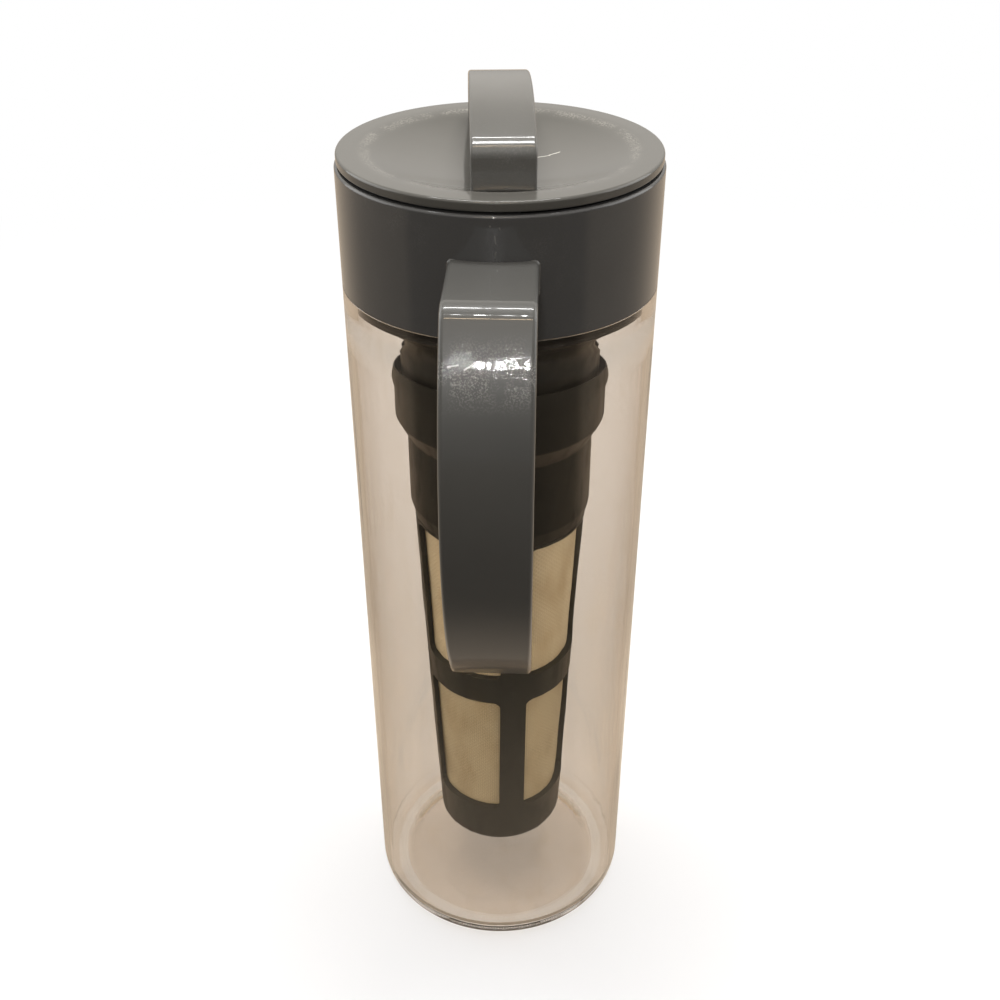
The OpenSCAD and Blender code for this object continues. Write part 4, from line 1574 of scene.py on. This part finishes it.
    def build_frame(self) -> None:
        """Turns the basket's frame and cuts the upper and lower windows."""
        floor = self.foot + self.cup_floor
        collar = self.sleeve_r - self.sleeve_wall - self.fit
        bore = self.basket_r - self.frame_wall
        top = self.sleeve_foot + self.collar_h
        inner = self.outside(floor) - self.frame_wall
        profile = rounded([
            (0, self.foot, 0), (self.foot_r, self.foot, self.cup_round),
            (self.basket_r, self.sleeve_foot, self.step_round),
            (collar, self.sleeve_foot, self.collar_foot_round), (collar, top, self.collar_top_round),
            (bore, top, self.collar_top_round), (bore, self.sleeve_foot, 0),
            (inner, floor, self.cup_inner_round), (0, floor, 0)], False)
        basket = lathe("infuser_basket", profile, False, self.basket_steps)
        boxes = [span(f"mesh_{row}_1") for row in ("upper", "lower")]
        bands = [(low.z + self.mesh_lap, high.z - self.mesh_lap) for low, high in boxes]
        tools = []
        for i in range(self.rib_count):
            turn = self.rib_turn - 90 + 360 / self.rib_count * (i + 0.5)
            tools += [self.window(f"window_{i}_{k}", low, high, turn) for k, (low, high) in enumerate(bands)]
        combine(basket, tools)
        soften(basket, self.basket_edge, 2, 60)
        shade(basket, self.basket_smooth)
        seat(basket, ["infuser_frame"], Body.INFUSER, BASKET_SATIN)

    def build_panels(self, row: str, finish: WovenMesh) -> list[bpy.types.Object]:
        """Turns one curved mesh panel and copies it to the other windows of its row.

        Args:
            row: Row of windows, upper or lower.
            finish: Weave of the row.

        Returns:
            The row's panels.
        """
        low, high = (span(f"mesh_{row}_1")[i].z for i in (0, 1))
        bottom = self.outside(low) - self.frame_wall - self.fit
        top = self.outside(high) - self.frame_wall - self.fit
        bore = self.outside(high - self.mesh_lap) - self.frame_wall
        half = math.asin(self.half_chord(high - self.mesh_lap) / bore) + math.atan(self.mesh_lap / bore)
        profile = [(bottom - self.mesh_t, low), (bottom, low), (top, high), (top - self.mesh_t, high)]
        first = self.rib_turn - 90 + 180 / self.rib_count
        panel = sector(f"mesh_panel_{row}_1", profile, first, 2 * math.degrees(half), self.mesh_steps)
        shade(panel)
        panels = [panel]
        for i in range(1, self.rib_count):
            panels.append(turned_copy(panel, f"mesh_panel_{row}_{i + 1}", 360 / self.rib_count * i))
        for i, made in enumerate(panels):
            seat(made, [f"mesh_{row}_{i + 1}"], Body.INFUSER, finish)
        return panels

    def build(self) -> list[bpy.types.Object]:
        """Builds the infuser from its head down, and the washer under the spigot's end.

        Returns:
            Its mesh panels.
        """
        self.build_ring()
        self.build_frame()
        panels = self.build_panels("upper", UPPER_MESH) + self.build_panels("lower", LOWER_MESH)
        flat_ring("spigot_washer", "infuser_seal", self.sleeve_r - self.sleeve_wall, Body.WASHER)
        return panels


# Camera, floor and light

@dataclass(frozen=True)
class Lamp:
    """Soft light panel that faces the jar."""

    name: str
    place: Place
    size: Point
    # brightness of its face, where 1 is white
    radiance: float
    colour: str = "#ffffff"
    # whether its width lies along X, for strips whose reflections are lines
    straight: bool = False
    # whether reflections show it, or the surround in its place
    mirrored: bool = True
    shape: str = "RECTANGLE"
    aim_height: float = 200.0

    def hang(self) -> bpy.types.Object:
        """Hangs the lamp where only the pieces that it lights and mirrors it see it.

        Returns:
            The light.
        """
        data = bpy.data.lights.new(self.name, "AREA")
        data.shape = self.shape
        data.size = self.size[0] * MM
        data.size_y = self.size[1] * MM
        data.energy = self.radiance * math.pi * data.size * data.size_y
        data.color = linear(self.colour)[:3]
        light = bpy.data.objects.new(self.name, data)
        bpy.context.collection.objects.link(light)
        light.location = Vector(self.place) * MM
        target = Vector((self.place[0] if self.straight else 0.0, 0.0, self.aim_height))
        light.rotation_euler = (target - Vector(self.place)).to_track_quat("-Z", "Y").to_euler()
        light.visible_camera = False
        light.visible_transmission = False
        light.visible_glossy = self.mirrored
        return light


ROOM_LAMPS = (
    Lamp("back_panel", (0.0, 1400.0, 1050.0), (3000.0, 1500.0), 1.0, "#fff3e4", mirrored=False),
    Lamp("left_panel", (-1400.0, 250.0, 700.0), (1300.0, 1200.0), 1.5),
    Lamp("right_panel", (1400.0, 250.0, 700.0), (1300.0, 1200.0), 1.5),
    Lamp("top_panel", (0.0, 60.0, 1900.0), (1100.0, 900.0), 8.6, "#fffaf3", mirrored=False),
    Lamp("front_panel", (-150.0, -1700.0, 1150.0), (1500.0, 700.0), 0.6, "#fff6ea", mirrored=False),
    Lamp("top_strip_left", (-370.0, 215.0, 1800.0), (580.0, 100.0), 30.0, straight=True),
    Lamp("top_strip_right", (236.0, 215.0, 1800.0), (580.0, 100.0), 30.0, straight=True),
    Lamp("front_dash_0", (-126.0, -640.0, 1750.0), (14.0, 70.0), 30.0, straight=True),
    Lamp("front_dash_1", (-82.0, -640.0, 1750.0), (22.0, 70.0), 100.0, straight=True),
    Lamp("front_dash_2", (-35.0, -640.0, 1750.0), (20.0, 70.0), 30.0, straight=True),
    Lamp("front_dash_3", (-6.0, -640.0, 1750.0), (7.0, 70.0), 100.0, straight=True),
    Lamp("front_strip", (0.0, -640.0, 1750.0), (500.0, 24.0), 9.0, straight=True),
    Lamp("warm_strip", (0.0, -1000.0, 1550.0), (700.0, 46.0), 20.0, "#ffe0b8", straight=True),
    Lamp("bulb_0", (-105.0, -1860.0, 1243.0), (11.0, 90.0), 800.0, straight=True, shape="ELLIPSE"),
    Lamp("bulb_1", (-86.0, -1860.0, 1243.0), (4.0, 40.0), 800.0, straight=True, shape="ELLIPSE"),
    Lamp("bulb_2", (-60.0, -1860.0, 1243.0), (6.0, 100.0), 800.0, straight=True, shape="ELLIPSE"),
    Lamp("bulb_3", (-24.0, -1860.0, 1243.0), (5.0, 60.0), 800.0, straight=True, shape="ELLIPSE"),
    Lamp("bulb_4", (0.0, -1860.0, 1243.0), (4.0, 90.0), 800.0, straight=True, shape="ELLIPSE"))
STRAP_LAMPS = (
    Lamp("strap_strip", (-20.0, -520.0, 1760.0), (560.0, 300.0), 24.0, straight=True),)
MESH_LAMPS = (
    Lamp("mesh_fill_left", (-900.0, -900.0, 500.0), (900.0, 900.0), 2.5),
    Lamp("mesh_fill_right", (900.0, -900.0, 500.0), (900.0, 900.0), 2.5))


@dataclass
class Studio:
    """Plain pale floor, soft light from behind and above, and the photograph's camera."""

    eye: Place = (14.0, -364.2, 416.3)
    aim: Place = (0.0, 0.0, 177.9)
    lens: float = 43.88
    sensor: float = 36.0
    floor_size: float = 8000.0
    floor_colour: str = "#6b6966"
    floor_pale: str = "#e5e6e9"
    floor_glow: float = 0.5
    floor_near: float = 300.0
    floor_far: float = 900.0
    floor_front: float = 0.12
    floor_sides: float = 0.4
    floor_back: float = 0.3
    floor_foot: float = 0.3
    # where the floor's tone changes: by its share of depth to distance, and by distance in metres
    front_range: Point = (-0.54, -0.4)
    back_range: Point = (0.2, 0.8)
    foot_range: Point = (0.22, 0.1)
    floor_tone: str = "#f0dcc4"
    wall_low: float = 0.04
    wall_high: float = 0.92
    wall_lean: float = 0.25
    wall_crown: float = 0.35
    # upward share of the way back along a ray: 1 for a ray straight down, -1 for one straight up
    wall_range: Point = (0.25, -0.85)
    crown_range: Point = (-0.55, -0.95)
    wall_colour: str = "#fffaf2"
    ambient: float = 0.1

    def camera(self) -> None:
        """Places the camera."""
        data = bpy.data.cameras.new("camera")
        data.lens = self.lens
        data.sensor_width = self.sensor
        data.clip_start = 0.01
        camera = bpy.data.objects.new("camera", data)
        bpy.context.collection.objects.link(camera)
        camera.location = Vector(self.eye) * MM
        way = Vector(self.aim) - Vector(self.eye)
        camera.rotation_euler = way.to_track_quat("-Z", "Y").to_euler()
        bpy.context.scene.camera = camera

    def seen(self, tree: Tree, mirror: Source | float) -> Node:
        """Value that says how white the surround looks to a ray.

        Args:
            tree: Tree that gets the nodes.
            mirror: Value in reflections, where a room would be less white than the open surround.

        Returns:
            1 straight from the camera or through clear pieces, the mirror value in reflections, 0 for light.
        """
        path = add_node(tree, Kind.LIGHT_PATH, ()).outputs
        straight = (path["Is Camera Ray"], path["Is Transmission Ray"])
        sight = add_node(tree, Kind.MATHS, straight, operation="MAXIMUM")
        sight = add_node(tree, Kind.MATHS, (sight, path["Is Glossy Ray"]), operation="MAXIMUM")
        mirrored = add_node(tree, Kind.MATHS, (path["Glossy Depth"], 0.5), operation="GREATER_THAN")
        change = add_node(tree, Kind.MATHS, (mirror, 1.0), operation="SUBTRACT")
        share = add_node(tree, Kind.MATHS, (mirrored, change, 1.0), operation="MULTIPLY_ADD")
        return add_node(tree, Kind.MATHS, (sight, share), operation="MULTIPLY")

    def floor(self) -> None:
        """Lays the floor, which keeps the object's shadow and is white where it is seen in the open."""
        bpy.ops.object.select_all(action="DESELECT")
        bpy.ops.mesh.primitive_plane_add(size=self.floor_size * MM)
        floor = bpy.context.object
        floor.name = "floor"
        material, tree = new_tree("pale_floor")
        sight = self.seen(tree, 0.0)
        plain = {0: sight, 6: linear(self.floor_colour), 7: linear(self.floor_pale)}
        colour = add_node(tree, Kind.MIX, plain, **COLOURS)
        paint = add_node(tree, Kind.DIFFUSE, {"Color": colour})
        glow = add_node(tree, Kind.EMISSION, {"Color": WHITE, "Strength": 1.0})
        place = add_node(tree, Kind.COORDINATES, ()).outputs["Object"]
        away = add_node(tree, Kind.VECTOR, (place,), operation="LENGTH").outputs["Value"]
        near, far = self.floor_near * MM, self.floor_far * MM
        open_floor = add_node(tree, Kind.RANGE, (away, near, far, self.floor_glow), **EASED)
        share = add_node(tree, Kind.MATHS, (sight, open_floor), operation="MULTIPLY")
        direct = add_node(tree, Kind.BLEND, (share, paint, glow))
        # in reflections the floor is dark in front of the jar and lighter to its sides, as in a room
        depth = add_node(tree, Kind.AXES, (place,)).outputs["Y"]
        facing = add_node(tree, Kind.MATHS, (depth, away), operation="DIVIDE")
        tones = (self.floor_front, self.floor_sides)
        front = add_node(tree, Kind.RANGE, (facing, *self.front_range, *tones), **EASED)
        back = add_node(tree, Kind.RANGE, (facing, *self.back_range, 0.0, self.floor_back), **EASED)
        foot = add_node(tree, Kind.RANGE, (away, *self.foot_range, 0.0, self.floor_foot), **EASED)
        tone = add_node(tree, Kind.MATHS, (front, back), operation="ADD")
        tone = add_node(tree, Kind.MATHS, (tone, foot), operation="ADD")
        room = add_node(tree, Kind.EMISSION, {"Color": linear(self.floor_tone), "Strength": tone})
        mirrored = add_node(tree, Kind.MATHS, (self.seen(tree, 1.0), sight), operation="SUBTRACT")
        both = add_node(tree, Kind.BLEND, (mirrored, direct, room))
        add_node(tree, Kind.OUTPUT, {"Surface": both})
        floor.data.materials.append(material)

    def world(self) -> None:
        """Sets a white surround that lights the object softly."""
        world = bpy.data.worlds.new("surround")
        bpy.context.scene.world = world
        world.use_nodes = True
        tree = world.node_tree
        tree.nodes.clear()
        path = add_node(tree, Kind.LIGHT_PATH, ()).outputs
        mirrored = add_node(tree, Kind.MATHS, (path["Glossy Depth"], 0.5), operation="GREATER_THAN")
        colour = add_node(tree, Kind.MIX, {0: mirrored, 6: WHITE, 7: linear(self.wall_colour)}, **COLOURS)
        white = add_node(tree, Kind.BACKGROUND, {"Color": colour, "Strength": 1.0})
        dim = add_node(tree, Kind.BACKGROUND, {"Color": WHITE, "Strength": self.ambient})
        way = add_node(tree, Kind.GEOMETRY, ()).outputs["Incoming"]
        fall = add_node(tree, Kind.AXES, (way,)).outputs
        # the room is dark low in front, light behind and less light straight above
        lean = add_node(tree, Kind.MATHS, (fall["Y"], self.wall_lean, fall["Z"]), operation="MULTIPLY_ADD")
        wall = add_node(tree, Kind.RANGE, (lean, *self.wall_range, self.wall_low, self.wall_high), **EASED)
        crown = add_node(tree, Kind.RANGE, (fall["Z"], *self.crown_range, 1.0, self.wall_crown), **EASED)
        wall = add_node(tree, Kind.MATHS, (wall, crown), operation="MULTIPLY")
        mix = add_node(tree, Kind.BLEND, (self.seen(tree, wall), dim, white))
        add_node(tree, Kind.WORLD, {"Surface": mix})

    def light(self, lamps: tuple[Lamp, ...], pieces: list[bpy.types.Object] | None = None) -> None:
        """Hangs lamps.

        Args:
            lamps: Lamps to hang.
            pieces: Pieces that alone take their light, or none where all do.
        """
        for lamp in lamps:
            light = lamp.hang()
            if pieces is None:
                continue
            group = bpy.data.collections.new(f"{lamp.name}_pieces")
            for piece in pieces:
                group.objects.link(piece)
            light.light_linking.receiver_collection = group

    def build(self) -> None:
        """Sets up the studio."""
        self.camera()
        self.floor()
        self.world()
        self.light(ROOM_LAMPS)


def main() -> None:
    """Builds the studio and the pitcher."""
    logging.basicConfig(level=logging.INFO, format="%(name)s: %(message)s")
    bpy.context.scene.view_settings.view_transform = "Standard"
    studio = Studio()
    studio.build()
    jar = Jar()
    jar.build()
    Collar(jar).build()
    Handle(jar).build()
    lid = Lid(jar)
    strap = lid.build()
    # the strap's bend has the broad bright line of a window high in front
    studio.light(STRAP_LAMPS, [strap])
    panels = Infuser(lid).build()
    # the thin weave takes light from all round the clear jar
    studio.light(MESH_LAMPS, panels)


if __name__ == "__main__":
    main()
